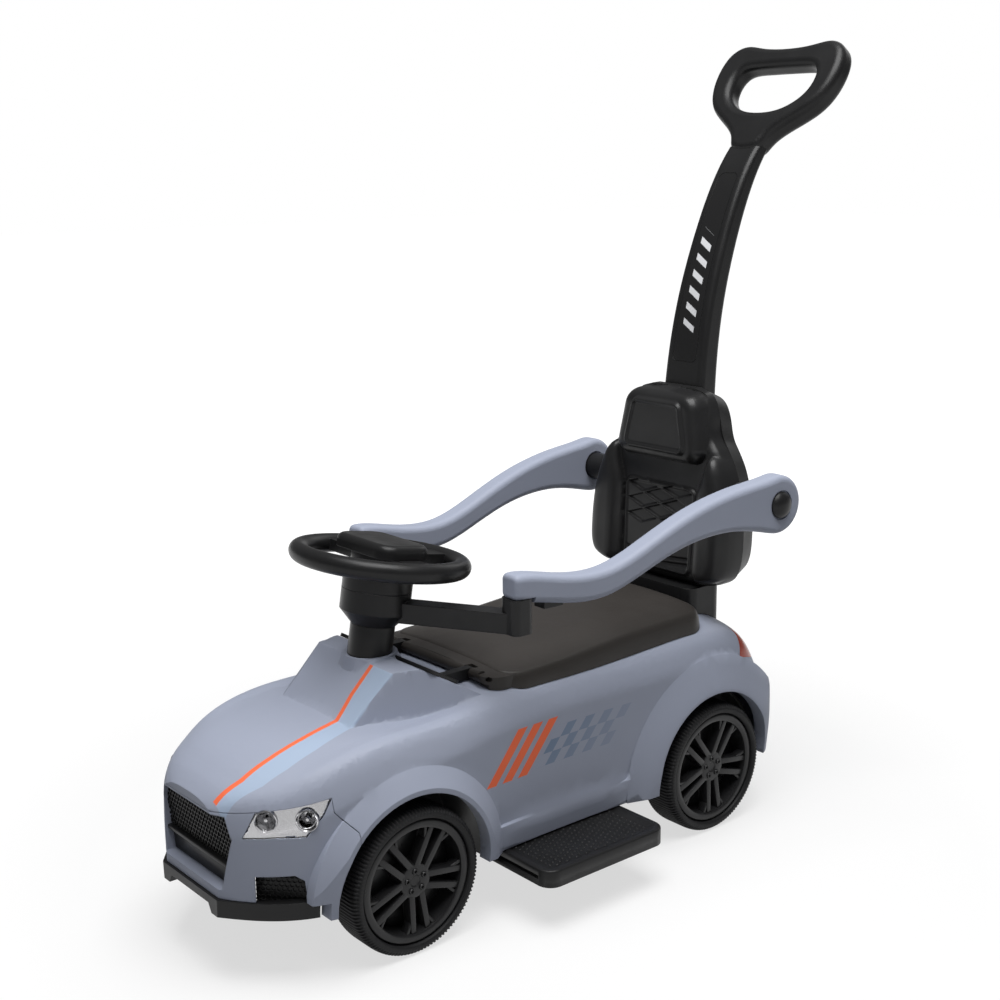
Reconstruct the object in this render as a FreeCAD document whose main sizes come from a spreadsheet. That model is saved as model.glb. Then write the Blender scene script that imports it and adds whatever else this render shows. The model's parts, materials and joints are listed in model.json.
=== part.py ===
import FreeCAD, Part
import math
import os
import Sketcher

# Push car with handle: a foot-to-floor toy car with a parent's push handle,
# safety guards, working steering, a seat lid and two slide-out footrests.
# Frame: +X is the car's left, -Y its front, +Z up, origin on the ground.

SIZES = {
    # Running gear
    "wheelbase": 421, "wheel_radius": 75, "tyre_width": 46, "wheel_face_x": 135,
    "rim_radius": 64, "rim_wall": 5, "hub_radius": 15, "axle_radius": 5, "spoke_width": 7,
    "spoke_depth": 9, "spoke_gap": 7, "spoke_splay": 5, "tyre_shoulder": 7, "rim_recess": 4, "rim_disc": 3,
    "lug_radius": 2.6, "lug_circle": 9.5, "lug_depth": 2, "tyre_bead": 3,
    "run_fit": 0.08, "kingpin_x": 72, "kingpin_radius": 6, "knuckle_radius": 9,
    "knuckle_low_z": 53, "knuckle_top_z": 98, "steer_arm": 40, "arm_low_z": 86,
    "arm_thick": 6, "arm_wide": 12,
    "ball_pin_radius": 3, "link_play": 1, "tie_rod_wide": 20, "tie_rod_thick": 5,
    "link_gap": 0.6, "link_swing": 3.8, "axle_set": 9, "hub_step": 6,
    # Body shell
    "body_half_width": 125, "nose_reach": 171, "tail_reach": 125, "sill_z": 67,
    "sill_rise": 35, "hood_z": 233, "deck_z": 238, "shell_wall": 3,
    "arch_radius": 90, "flare_x": 136, "front_flare": 24, "rear_flare": 40, "flare_lip": 5,
    "flare_root_x": 112, "flare_edge_x": 124, "flare_reach": 14,
    "skirt_z": 98, "skirt_fall": 9, "skirt_proud": 4,
    "cowl_front_y": -56, "cowl_ridge_y": 40, "cowl_flat": 12, "cowl_rear_y": 114,
    "cowl_ridge_z": 264, "cowl_root_z": 214, "cowl_base_half": 100, "cowl_top_half": 77,
    "cowl_corner_half": 86, "cowl_corner_y": -12, "cowl_bow": 4,
    "cowl_round": 9, "seam_gap": 0.5, "seam_y": -84, "seam_low_y": -66, "seam_low_z": 148,
    "seam_top_z": 182, "lip_z": 169, "column_boss_radius": 28, "boss_rise": 8,
    # Front end
    "fascia_low_z": 85, "splitter_proud": 3, "splitter_thick": 9, "splitter_rear_y": -97, "splitter_rise": 9,
    "splitter_rise_half": 36, "splitter_step": 8,
    "grille_top_z": 167, "grille_mid_z": 146, "grille_low_z": 94, "grille_top_half": 58,
    "grille_mid_half": 66, "grille_low_half": 55, "grille_depth": 20, "grille_plate": 6,
    "grille_recess": 12,
    "grille_frame": 3, "grille_ridge_z": 115, "grille_ridge_high": 5, "grille_ridge_proud": 5,
    "mesh_pitch": 9, "mesh_bar": 2, "fit_gap": 0.3,
    "lamp_x": 98, "lamp_y": -122, "lamp_z": 165, "lamp_half": 41, "lamp_high": 18,
    "lamp_yaw": 48, "lamp_depth": 18, "lamp_bowl_radius": 9, "lamp_bowl_deep": 10,
    "lamp_bowl_apart": 19, "lamp_wall": 4,
    "intake_x": 95, "intake_y": -128, "intake_z": 96, "intake_half": 24, "intake_high": 17,
    "intake_yaw": 42, "intake_recess": 6, "intake_plate": 5,
    "tail_lamp_x": 108, "tail_lamp_ahead": 60, "tail_lamp_z": 203, "tail_lamp_half": 17,
    "tail_lamp_high": 20, "tail_lamp_yaw": 132, "tail_lamp_deep": 14,
    # Seat, bin and dash
    "seat_front_y": 118, "seat_behind": 15, "seat_half": 98, "seat_thick": 12, "seat_wall": 4,
    "seat_gap": 0.5, "seat_corner": 26, "hinge_y": 126, "hinge_rise": 2, "hinge_pin_radius": 2.5,
    "hinge_knuckle": 6, "hinge_lug_x": 58, "hinge_lug_wide": 10, "hinge_pin_long": 42,
    "bin_front_y": 150, "bin_ahead": 23, "bin_half": 62, "bin_low_z": 84, "bin_wall": 2.5,
    "bin_rim": 4, "dash_half": 80, "dash_thick": 4, "dash_inset": 5, "dash_long": 48,
    # Steering column
    "column_y": 60, "wheel_z": 362, "column_tilt": 10, "steer_radius": 93, "steer_rim": 10,
    "collar_radius": 36, "collar_top": 32, "collar_low": 54, "collar_taper": 14,
    "sleeve_radius": 23, "sleeve_foot": 118, "rod_radius": 6, "hub_top": 12, "pad_half_x": 48,
    "pad_long": 62, "pad_thick": 14, "spoke_bar": 26, "spoke_thick": 12, "rod_foot_z": 112,
    "crank_thick": 5, "crank_wide": 14,
    # Guards
    "yoke_low_z": 300, "yoke_high": 21, "yoke_thick": 22, "post_y": 128, "post_top_z": 336,
    "post_long": 24, "guard_x": 150, "guard_front_x": 132, "guard_wide": 26, "guard_pivot_behind": 67,
    "guard_pivot_z": 377, "guard_boss": 33, "guard_front_y": 118,
    "guard_dip_z": 332, "guard_mid_high": 29, "guard_round": 7, "guard_end_round": 5,
    "guard_spot": 1.5,
    "pivot_radius": 8, "hub_stub_radius": 16, "knob_radius": 15, "knob_proud": 9,
    "peg_high": 12, "peg_half": 7, "peg_play": 1.5, "guard_gap": 0.5,
    "latch_y": 168, "latch_long": 24, "latch_wide": 16, "latch_deep": 10, "latch_proud": 4,
    # Backrest and handle
    "back_low_z": 266, "back_high": 228, "back_half": 112, "back_behind": 61,
    "back_front_deep": 40, "back_rear_deep": 26, "back_lean": 3.5, "back_draft": 9, "back_wall": 4,
    "panel_deep": 12, "panel_half": 66, "panel_low": 14, "panel_high": 104, "panel_round": 14,
    "quilt_pitch": 26, "quilt_bar": 3, "quilt_proud": 2, "quilt_margin": 5,
    "pillow_low": 152, "pillow_high": 64, "pillow_half": 49, "pillow_proud": 7, "pillow_round": 12,
    "plinth_half": 66, "plinth_behind": 25, "plinth_long": 56,
    "stem_low_z": 398, "stem_top_z": 765, "stem_low_half": 33,
    "stem_top_half": 23.5, "stem_low_deep": 31, "stem_top_deep": 24, "stem_round": 7,
    "socket_wall": 5, "socket_fit": 0.4, "handle_behind": 269, "loop_lean": 33,
    "loop_high": 133, "loop_half": 88, "loop_bar": 29, "loop_thick": 27, "loop_round": 9,
    "inlay_low_z": 520, "inlay_high_z": 735, "inlay_deep": 1.6, "inlay_low_half": 19,
    "inlay_top_half": 14,
    # Floor and footrests
    "floor_z": 66, "floor_thick": 4, "floor_half": 108, "well_wall": 3, "front_well_x": 46,
    "rear_well_x": 80, "front_well_radius": 98, "rear_well_radius": 86, "bracket_thick": 6,
    "footrest_front_y": 118, "footrest_ahead": 136, "footrest_inner_x": 72,
    "footrest_outer_x": 190, "footrest_high": 18, "footrest_wall": 3.5, "footrest_round": 16,
    "rail_thick": 3, "rail_ledge": 7, "slide_gap": 0.4,
    "screw_radius": 4, "screw_head": 2.5,
    # Cuts run this far past the faces they go through
    "overrun": 5,
}

# Shape of the body at stations from nose to tail. Each row: where it stands
# (share of the nose reach, of the wheelbase, of the tail reach), then shares
# of the half width and of the height for shoulder, edge and crown.
NOSE_SHARES = [
    (1.00, 0.41, 0.635, 0.712, 0.760),
    (0.93, 0.57, 0.652, 0.747, 0.807),
    (0.795, 0.765, 0.678, 0.794, 0.880),
    (0.59, 0.935, 0.721, 0.850, 0.948),
    (0.34, 1.00, 0.773, 0.897, 1.000),
]
FLANK_SHARES = [
    (0.107, 1.00, 0.800, 0.910, 0.992),
    (0.28, 0.98, 0.840, 0.933, 0.985),
    (0.594, 0.97, 0.853, 0.933, 1.000),
    (0.855, 1.00, 0.849, 0.941, 1.008),
]
TAIL_SHARES = [
    (0.232, 1.00, 0.815, 0.935, 1.000),
    (0.56, 0.99, 0.730, 0.870, 0.945),
    (0.76, 0.935, 0.620, 0.740, 0.805),
    (0.92, 0.80, 0.510, 0.600, 0.650),
    (1.00, 0.62, 0.430, 0.480, 0.510),
]
SILL_SHARE = 0.965
SHOULDER_SHARE = 0.985
FLANK_SHARE = 0.993
FLANK_RISE_SHARE = 0.86
EDGE_SHARE = 0.90
BROW_SHARE = 0.74
BROW_RISE_SHARE = 0.62
CROWN_SHARE = 0.36
CORNER_SHARE = 0.25
BORE_SHARE = 0.8
PILLOW_SHARE = 0.8
PAD_CORNER_SHARE = 0.3
GRIP_LOW_SHARE = 0.30
SOCKET_SHARE = 0.93
SCREW_SHARE = 0.28
SPOKE_PAIRS = 5
QUILT_ROWS = 6
QUILT_ANGLE = 52

# Backrest outline: (share of the height, share of the half width).
BACK_SHARES = [(0, 0.60), (0.035, 0.84), (0.09, 0.96), (0.2, 1.0), (0.42, 0.97), (0.6, 0.86),
               (0.70, 0.73), (0.77, 0.62), (0.90, 0.56), (0.975, 0.46), (1.0, 0.30)]

# Guard arm: (share of the way from front to pivot, share of the rise from
# dip to pivot, share of the height growth from middle to boss).
GUARD_SHARES = [(0.02, 0.36, 0.03), (0.12, 0.18, 0.0), (0.22, 0.0, 0.0), (0.33, -0.02, 0.0),
                (0.44, 0.29, 0.0), (0.56, 0.69, 0.06), (0.68, 0.96, 0.2), (0.82, 1.09, 0.43)]
GUARD_NOSE_SHARE = 0.6

# Handle loop: (share of the half width, share of the height) of its outer
# and inner outlines, right half from the bottom up.
LOOP_SHARES = [(0.26, -0.10), (0.28, 0.06), (0.55, 0.20), (0.93, 0.36), (1.08, 0.62),
               (1.04, 0.94), (0.72, 1.06), (0.40, 0.97)]
GRIP_SHARES = [(0.22, 0.02), (0.62, 0.10), (1.06, 0.42), (1.04, 0.98), (0.6, 1.0)]

# Head lamp outline in its own plane: shares of the half width and height.
LAMP_SHARES = [(-1.0, -0.92), (-0.66, 0.6), (0.33, 0.78), (1.0, 0.95), (0.83, 0.15),
               (0.45, -0.9), (-0.23, -0.85)]
INTAKE_SHARES = [(-1.0, -1.0), (-1.0, 0.9), (0.55, 0.95), (0.9, 0.6), (1.0, -1.0)]
TAIL_LAMP_SHARES = [(-1.0, -0.55), (0.05, 1.0), (0.9, 0.35), (1.0, -0.5), (0.7, -1.0)]

# Handle stem: (share of the height, share of the way back) of its sections.
STEM_SHARES = [(0, 0), (0.25, 0.055), (0.40, 0.12), (0.58, 0.268), (0.73, 0.455),
               (0.85, 0.645), (1.0, 1.0)]

doc = FreeCAD.newDocument("push_car")
sheet = doc.addObject("Spreadsheet::Sheet", "Sizes")
for row, (alias, number) in enumerate(SIZES.items(), start=1):
    sheet.set(f"A{row}", alias)
    sheet.set(f"B{row}", str(number))
    sheet.setAlias(f"B{row}", alias)
doc.recompute()


class Dim:
    """A size that knows its number and the sheet expression that gives it."""

    def __init__(self, value, text):
        self.value = float(value)
        self.text = text

    def join(self, other, sign, value):
        text = other.text if isinstance(other, Dim) else repr(other)
        return Dim(value, f"({self.text} {sign} {text})")

    def __float__(self):
        return self.value

    def __add__(self, other):
        return self.join(other, "+", self.value + float(other))

    def __sub__(self, other):
        return self.join(other, "-", self.value - float(other))

    def __mul__(self, other):
        return self.join(other, "*", self.value * float(other))

    def __truediv__(self, other):
        return self.join(other, "/", self.value / float(other))

    def __neg__(self):
        return Dim(-self.value, f"(-{self.text})")


class Sizes:
    """The sheet's cells, read as Dim values."""

    def __getattr__(self, name):
        return Dim(getattr(sheet, name), f"Sizes.{name}")


size = Sizes()
ZERO = size.wheelbase * 0
ORIGIN = FreeCAD.Vector(0, 0, 0)
AXIS_X = FreeCAD.Vector(1, 0, 0)
AXIS_Y = FreeCAD.Vector(0, 1, 0)
AXIS_Z = FreeCAD.Vector(0, 0, 1)
FULL_TURN = 360
# Places that keep to the rear axle
seat_rear_y = size.wheelbase + size.seat_behind
bin_rear_y = size.wheelbase - size.bin_ahead
guard_pivot_y = size.wheelbase + size.guard_pivot_behind
back_parting_y = size.wheelbase + size.back_behind
plinth_front_y = size.wheelbase + size.plinth_behind
plinth_rear_y = size.wheelbase + size.plinth_behind + size.plinth_long
handle_reach = size.wheelbase + size.handle_behind
tail_lamp_y = size.wheelbase + size.tail_reach - size.tail_lamp_ahead
footrest_rear_y = size.wheelbase - size.footrest_ahead
front_axle_y = (size.nose_reach + size.splitter_proud - handle_reach) / 2
subparts = []


def vec(x, y, z):
    return FreeCAD.Vector(float(x), float(y), float(z))


def keep(obj, label, x=ZERO, y=ZERO, z=ZERO):
    """Name a sub-part and set it in the car's frame, front axle first."""
    obj.Label = label
    place(obj, x, y + front_axle_y, z)
    subparts.append(obj)
    return obj


def place(obj, x, y, z):
    for axis, dim in (("x", x), ("y", y), ("z", z)):
        obj.setExpression(f"Placement.Base.{axis}", dim.text)


def feature(shape, label):
    obj = doc.addObject("Part::Feature", label)
    obj.Shape = shape.removeSplitter()
    return keep(obj, label)


def new_body(label):
    return doc.addObject("PartDesign::Body", label)


def sketch_on(body, role, outlines):
    """A sketch on one of the body's own planes, each corner bound to the sheet."""
    plane = next(item for item in body.Origin.OriginFeatures if item.Role == role)
    sketch = body.newObject("Sketcher::SketchObject", f"{body.Name}_sketch")
    sketch.AttachmentSupport = [(plane, "")]
    sketch.MapMode = "FlatFace"
    for outline in outlines:
        add_outline(sketch, outline)
    return sketch


def add_outline(sketch, outline):
    if len(outline) == 2:
        add_circle(sketch, *outline)
        return
    first = sketch.GeometryCount
    count = len(outline)
    for index in range(count):
        start, end = outline[index], outline[(index + 1) % count]
        sketch.addGeometry(Part.LineSegment(vec(*start, 0), vec(*end, 0)), False)
    for index in range(count):
        after = first + (index + 1) % count
        sketch.addConstraint(Sketcher.Constraint("Coincident", first + index, 2, after, 1))
    for index, (across, along) in enumerate(outline):
        bind_place(sketch, first + index, 1, across, along)


def add_circle(sketch, centre, radius):
    number = sketch.addGeometry(Part.Circle(vec(*centre, 0), AXIS_Z, float(radius)), False)
    bind_place(sketch, number, 3, *centre)
    rule = sketch.addConstraint(Sketcher.Constraint("Radius", number, float(radius)))
    sketch.setExpression(f"Constraints[{rule}]", radius.text)


def bind_place(sketch, number, end, across, along):
    for kind, dim in (("DistanceX", across), ("DistanceY", along)):
        rule = sketch.addConstraint(Sketcher.Constraint(kind, number, end, float(dim)))
        sketch.setExpression(f"Constraints[{rule}]", dim.text)


def revolve(body, sketch, axis="H_Axis", cut=False):
    kind = "PartDesign::Groove" if cut else "PartDesign::Revolution"
    turned = body.newObject(kind, f"{body.Name}_turn")
    turned.Profile = sketch
    turned.ReferenceAxis = (sketch, [axis])
    turned.Angle = FULL_TURN
    return turned


def pad(body, sketch, length, middle=False, backwards=False):
    grown = body.newObject("PartDesign::Pad", f"{body.Name}_pad")
    grown.Profile = sketch
    grown.setExpression("Length", length.text)
    grown.Midplane = middle
    grown.Reversed = backwards
    return grown


def pocket(body, sketch, depth, middle=False, backwards=False):
    sunk = body.newObject("PartDesign::Pocket", f"{body.Name}_pocket")
    sunk.Profile = sketch
    sunk.setExpression("Length", depth.text)
    sunk.Midplane = middle
    sunk.Reversed = backwards
    return sunk


def dress(body, kind, base, edges, amount):
    """Round or chamfer the named edges of a body's last feature."""
    doc.recompute()
    dressed = body.newObject(kind, f"{body.Name}_dress")
    dressed.Base = (base, edges)
    dressed.setExpression("Radius" if kind.endswith("Fillet") else "Size", amount.text)
    return dressed


def edges_where(base, test):
    doc.recompute()
    return [f"Edge{number}" for number, edge in enumerate(base.Shape.Edges, 1) if test(edge)]


def block(low, high):
    """A box solid between two corners."""
    span = high - low
    return Part.makeBox(span.x, span.y, span.z, low)


def rod(start, end, radius):
    line = end - start
    return Part.makeCylinder(float(radius), line.Length, start, line)


def prism(points, along):
    """A flat outline swept straight along a vector."""
    return Part.Face(Part.makePolygon(points + points[:1])).extrude(along)


def curve_through_poles(poles, closed=False):
    curve = Part.BSplineCurve()
    curve.buildFromPoles(poles, closed, 2)
    return curve.toShape()


def smooth_face(poles):
    """A flat face inside one smooth closed curve."""
    curve = Part.BSplineCurve()
    curve.buildFromPoles(poles, True, 3)
    return Part.Face(Part.Wire([curve.toShape()]))


def rounded(shape, edges, radius):
    return shape.makeFillet(float(radius), edges)


def mirrored(shape):
    return shape.mirror(ORIGIN, AXIS_X)


def turned_copy(shape, centre, axis, angle):
    copy = shape.copy()
    copy.rotate(centre, axis, float(angle))
    return copy


# Steering axis: it leans back from the cowl through the wheel's centre.
tilt = math.radians(float(size.column_tilt))
column_axis = FreeCAD.Vector(0, math.sin(tilt), math.cos(tilt))
column_head = vec(0, size.column_y, size.wheel_z)


def on_column(drop):
    """The point on the steering axis this far below the wheel's centre."""
    return column_head - column_axis * float(drop)


# Body master: a loft through curved stations
def station(y, width, heights, inset):
    """One cross-section of the body, drawn in by the inset."""
    shoulder_z, edge_z, crown_z = [height - inset for height in heights]
    width = width - inset
    low_z = float(size.sill_z) - max(inset, 0)
    waist_z = float(size.sill_z + size.sill_rise)
    half = [
        (width * SILL_SHARE, low_z),
        (width, waist_z),
        (width * FLANK_SHARE, waist_z + (shoulder_z - waist_z) * FLANK_RISE_SHARE),
        (width * SHOULDER_SHARE, shoulder_z),
        (width * EDGE_SHARE, edge_z),
        (width * BROW_SHARE, edge_z + (crown_z - edge_z) * BROW_RISE_SHARE),
        (width * CROWN_SHARE, crown_z),
    ]
    poles = [FreeCAD.Vector(x, y, z) for x, z in half]
    poles += [FreeCAD.Vector(-x, y, z) for x, z in reversed(half)]
    top = curve_through_poles(poles)
    return Part.Wire([top, Part.makeLine(poles[-1], poles[0])])


def body_loft(inset):
    half, hood, deck = float(size.body_half_width), float(size.hood_z), float(size.deck_z)
    base, nose, tail = float(size.wheelbase), float(size.nose_reach), float(size.tail_reach)
    wires = []
    for rows, start, reach, height in (
        (NOSE_SHARES, 0, -nose, hood),
        (FLANK_SHARES, 0, base, deck),
        (TAIL_SHARES, base, tail, deck),
    ):
        for along, width, *levels in rows:
            y = start + along * reach
            wires.append(station(y, half * width, [height * level for level in levels], inset))
    for wire, shift in ((wires[0], inset), (wires[-1], -inset)):
        wire.translate(FreeCAD.Vector(0, shift, 0))
    return Part.makeLoft(wires, True, False)


def cowl_ring(corner, corner_y, middle_y, rear, rear_y, z):
    """Plan of the cowl at one height: bowed front, straight sides and rear."""
    left, right = vec(corner, corner_y, z), vec(-corner, corner_y, z)
    rear_left, rear_right = vec(rear, rear_y, z), vec(-rear, rear_y, z)
    bow = Part.Arc(right, vec(0, middle_y, z), left).toShape()
    return Part.Wire([bow, Part.makeLine(left, rear_left), Part.makeLine(rear_left, rear_right),
                      Part.makeLine(rear_right, right)])


def cowl_block(inset):
    """Raised cowl: a loft from a foot hidden in the bonnet up to the ridge."""
    foot_z, start_y = size.hood_z - size.overrun, size.cowl_ridge_y + size.cowl_flat
    spread = (size.cowl_ridge_z - size.cowl_root_z) / (size.cowl_ridge_z - foot_z)
    front_y = size.cowl_ridge_y - (size.cowl_ridge_y - size.cowl_front_y) * spread + inset
    rear_y = start_y + (size.cowl_rear_y - start_y) * spread - inset
    foot = cowl_ring(size.cowl_corner_half - inset, size.cowl_corner_y + inset, front_y,
                     size.cowl_base_half - inset, rear_y, size.cowl_root_z - inset)
    upper = size.cowl_top_half - inset
    top = cowl_ring(upper, size.cowl_ridge_y + size.cowl_bow, size.cowl_ridge_y, upper, start_y,
                    size.cowl_ridge_z - inset)
    solid = Part.makeLoft([foot, top], True, True)
    crest = max(face.CenterOfMass.z for face in solid.Faces)
    ridge_edges = [edge for edge in solid.Edges if edge.BoundBox.ZMin > crest - float(size.cowl_bow)]
    return rounded(solid, ridge_edges, size.cowl_round)


def skirt():
    """Sill moulding that stands proud of the left flank between the arches."""
    far = size.flare_x + size.overrun
    profile = [(size.flare_root_x, size.sill_z), (far, size.sill_z),
               (far, size.skirt_z - size.skirt_fall), (size.flare_root_x, size.skirt_z)]
    bar = prism([vec(x, 0, z) for x, z in profile], vec(0, size.wheelbase, 0))
    return bar.common(body_loft(-float(size.skirt_proud)))


def flare(axle_y, band):
    """Lip round one wheel arch on the car's left, turned about the axle."""
    inner = size.arch_radius
    profile = [
        (size.flare_root_x, inner), (size.flare_x, inner), (size.flare_x, inner + size.flare_lip),
        (size.flare_edge_x, inner + band), (size.flare_root_x, inner + band),
    ]
    points = [vec(x, axle_y, size.wheel_radius + out) for x, out in profile]
    face = Part.Face(Part.makePolygon(points + points[:1]))
    ring = face.revolve(vec(0, axle_y, size.wheel_radius), AXIS_X, FULL_TURN)
    reach = size.arch_radius + size.rear_flare * 2
    above = block(vec(0, axle_y - reach, size.sill_z),
                  vec(size.flare_x + size.overrun, axle_y + reach, size.hood_z))
    return ring.common(above).common(flare_limit)


def arch_cut(axle_y):
    wide = size.flare_x + size.overrun
    start = vec(-wide, axle_y, size.wheel_radius)
    return rod(start, vec(wide, axle_y, size.wheel_radius), size.arch_radius)


def front_region(gap):
    """Space of the nose moulding: ahead of the seam and under the bonnet's lip."""
    wide = size.flare_x + size.overrun
    ahead = -(size.nose_reach + size.overrun)
    side = [
        (ahead, ZERO), (ahead, size.lip_z - gap), (size.seam_y - gap, size.seam_top_z - gap),
        (size.seam_y - gap, size.lip_z - gap), (size.seam_low_y - gap, size.seam_low_z - gap),
        (size.seam_low_y - gap, ZERO),
    ]
    return prism([vec(-wide, y, z) for y, z in side], vec(wide * 2, 0, 0))


def both_sides(make, *given):
    shape = make(*given)
    return [shape, mirrored(shape)]


def corner_prism(shares, centre, yaw, half, high, depth, margin=ZERO):
    """A prism through a body corner: its outline stands square to the yaw."""
    angle = math.radians(float(yaw))
    out = FreeCAD.Vector(math.sin(angle), -math.cos(angle), 0)
    along = FreeCAD.Vector(math.cos(angle), math.sin(angle), 0)
    points = []
    for across, up in shares:
        reach = along * (across * float(half - margin))
        points.append(vec(*centre) + reach + vec(0, 0, (high - margin) * up) - out * float(depth))
    return prism(points, out * float(depth + size.nose_reach * CORNER_SHARE))


gap = size.fit_gap
flare_limit = body_loft(-float(size.flare_reach))
outer = body_loft(0).fuse(cowl_block(ZERO))
inner = body_loft(float(size.shell_wall)).fuse(cowl_block(size.shell_wall))
liner = body_loft(float(size.shell_wall + gap))
boss_drop = (size.wheel_z - size.cowl_ridge_z - size.boss_rise) / math.cos(tilt)
boss = rod(on_column(size.sleeve_foot), on_column(boss_drop), size.column_boss_radius)
axles = (ZERO, size.wheelbase)
flares = both_sides(flare, ZERO, size.front_flare) + both_sides(flare, size.wheelbase, size.rear_flare)
master = outer.fuse([boss.cut(inner)] + flares + both_sides(skirt)).cut(inner)
master = master.cut([arch_cut(axle_y) for axle_y in axles])
hinge_z = size.deck_z + size.hinge_rise


def tail_lamp_prism(margin):
    centre = (size.tail_lamp_x, tail_lamp_y, size.tail_lamp_z)
    return corner_prism(TAIL_LAMP_SHARES, centre, size.tail_lamp_yaw, size.tail_lamp_half,
                        size.tail_lamp_high, size.tail_lamp_deep, margin)


def lamp_prism(margin):
    centre = (size.lamp_x, size.lamp_y, size.lamp_z)
    return corner_prism(LAMP_SHARES, centre, size.lamp_yaw, size.lamp_half, size.lamp_high,
                        size.lamp_depth, margin)


def intake_prism(margin):
    centre = (size.intake_x, size.intake_y, size.intake_z)
    return corner_prism(INTAKE_SHARES, centre, size.intake_yaw, size.intake_half, size.intake_high,
                        size.lamp_depth, margin)


def body_shell():
    """Bonnet, cowl, flanks, flared arches and deck in one open-bottomed moulding."""
    rim = size.bin_rim
    hatch = block(vec(rim - size.bin_half, size.bin_front_y + rim, size.cowl_root_z),
                  vec(size.bin_half - rim, bin_rear_y - rim, size.cowl_ridge_z))
    column_hole = rod(on_column(size.sleeve_foot + size.overrun), on_column(size.collar_low),
                      size.sleeve_radius + gap)
    groove = rod(vec(-size.seat_half, size.hinge_y, hinge_z), vec(size.seat_half, size.hinge_y, hinge_z),
                 size.hinge_knuckle + gap * 3)
    shell = master.cut([front_region(ZERO), hatch, column_hole, groove] + both_sides(tail_lamp_prism, ZERO))
    return feature(shell, "body_shell")


def grille_outline(y, grow):
    half_points = [
        (size.grille_top_half, size.grille_top_z), (size.grille_mid_half, size.grille_mid_z),
        (size.grille_low_half, size.grille_low_z),
    ]
    points = [vec(x, y, z) for x, z in half_points]
    points += [vec(-x, y, z) for x, z in reversed(half_points)]
    wire = Part.makePolygon(points + points[:1])
    return wire.makeOffset2D(float(grow)) if float(grow) else wire


def grille_prism(grow, start, depth):
    return Part.Face(grille_outline(start, grow)).extrude(vec(0, depth, 0))


def front_fascia():
    """Nose moulding with a deep grille frame, lamp openings and intakes."""
    nose_y = -size.nose_reach
    ahead = nose_y - size.overrun
    skin = master.common(front_region(size.seam_gap))
    frame = grille_prism(size.grille_frame, ahead, size.grille_depth + size.overrun).common(outer)
    frame = frame.common(front_region(size.seam_gap))
    opening = grille_prism(ZERO, ahead, size.grille_depth + size.overrun * 2)
    below = block(vec(-size.flare_x, ahead, ZERO), vec(size.flare_x, size.splitter_rear_y, size.fascia_low_z))
    cuts = [opening, below] + both_sides(lamp_prism, ZERO) + both_sides(intake_prism, ZERO)
    return feature(skin.fuse(frame).cut(cuts), "front_fascia")


def hexagon(x, z, y, radius):
    points = []
    for step in range(6):
        angle = math.pi / 6 + step * math.pi / 3
        points.append(FreeCAD.Vector(x + radius * math.cos(angle), y, z + radius * math.sin(angle)))
    return Part.makePolygon(points + points[:1])


def mesh_plate(outline_face, thick_vector, centre_z, half_wide, half_high, y):
    """A flat plate with a honeycomb of six-sided holes kept clear of its rim."""
    pitch = float(size.mesh_pitch)
    radius = (pitch - float(size.mesh_bar)) / math.sqrt(3)
    rim = outline_face.OuterWire.makeOffset2D(-float(size.mesh_bar))
    inside = Part.Face(rim)
    holes = []
    row_step = pitch * math.sqrt(3) / 2
    for row in range(-int(half_high / row_step) - 1, int(half_high / row_step) + 2):
        for column in range(-int(half_wide / pitch) - 1, int(half_wide / pitch) + 2):
            x = (column + (row % 2) / 2) * pitch
            hole = Part.Face(hexagon(x, centre_z + row * row_step, y, radius)).common(inside)
            holes += [face for face in hole.Faces if face.Area > radius * radius]
    return outline_face.cut(holes).extrude(thick_vector)


def grille_insert():
    """Honeycomb plate over a plain lower panel, with a ridge between them."""
    y = float(size.grille_recess - size.nose_reach)
    face = Part.Face(grille_outline(y, -gap))
    middle = float(size.grille_top_z + size.grille_low_z) / 2
    high = float(size.grille_top_z - size.grille_low_z) / 2
    plate = mesh_plate(face, vec(0, size.grille_plate, 0), middle, float(size.grille_mid_half), high, y)
    half, ridge, proud = size.grille_mid_half, size.grille_ridge_z, size.grille_ridge_proud
    below = block(vec(-half, y, size.fascia_low_z), vec(half, size.grille_plate + y, ridge))
    lower = face.extrude(vec(0, size.grille_plate, 0)).common(below)
    band = block(vec(-half, -proud + y, ridge),
                 vec(half, size.grille_plate + y, ridge + size.grille_ridge_high))
    bar = grille_prism(-gap, -proud + y, size.grille_plate + proud).common(band)
    return feature(plate.fuse([lower, bar]), "grille_insert")


def intake_inserts():
    """Black mesh behind each lower corner opening."""
    half, high = size.intake_half - gap, size.intake_high - gap
    points = [vec(half * across, 0, high * up) for across, up in INTAKE_SHARES]
    face = Part.Face(Part.makePolygon(points + points[:1]))
    plate = mesh_plate(face, vec(0, size.intake_plate, 0), 0, float(half), float(high), 0)
    plate.translate(vec(0, size.intake_recess, 0))
    plate.rotate(ORIGIN, AXIS_Z, float(size.intake_yaw))
    plate.translate(vec(size.intake_x, size.intake_y, size.intake_z))
    floor = block(vec(-size.flare_x, -size.nose_reach, size.fascia_low_z),
                  vec(size.flare_x, ZERO, size.hood_z))
    plate = plate.common(floor).common(outer)
    feature(plate, "intake_insert_left")
    feature(mirrored(plate), "intake_insert_right")


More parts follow.
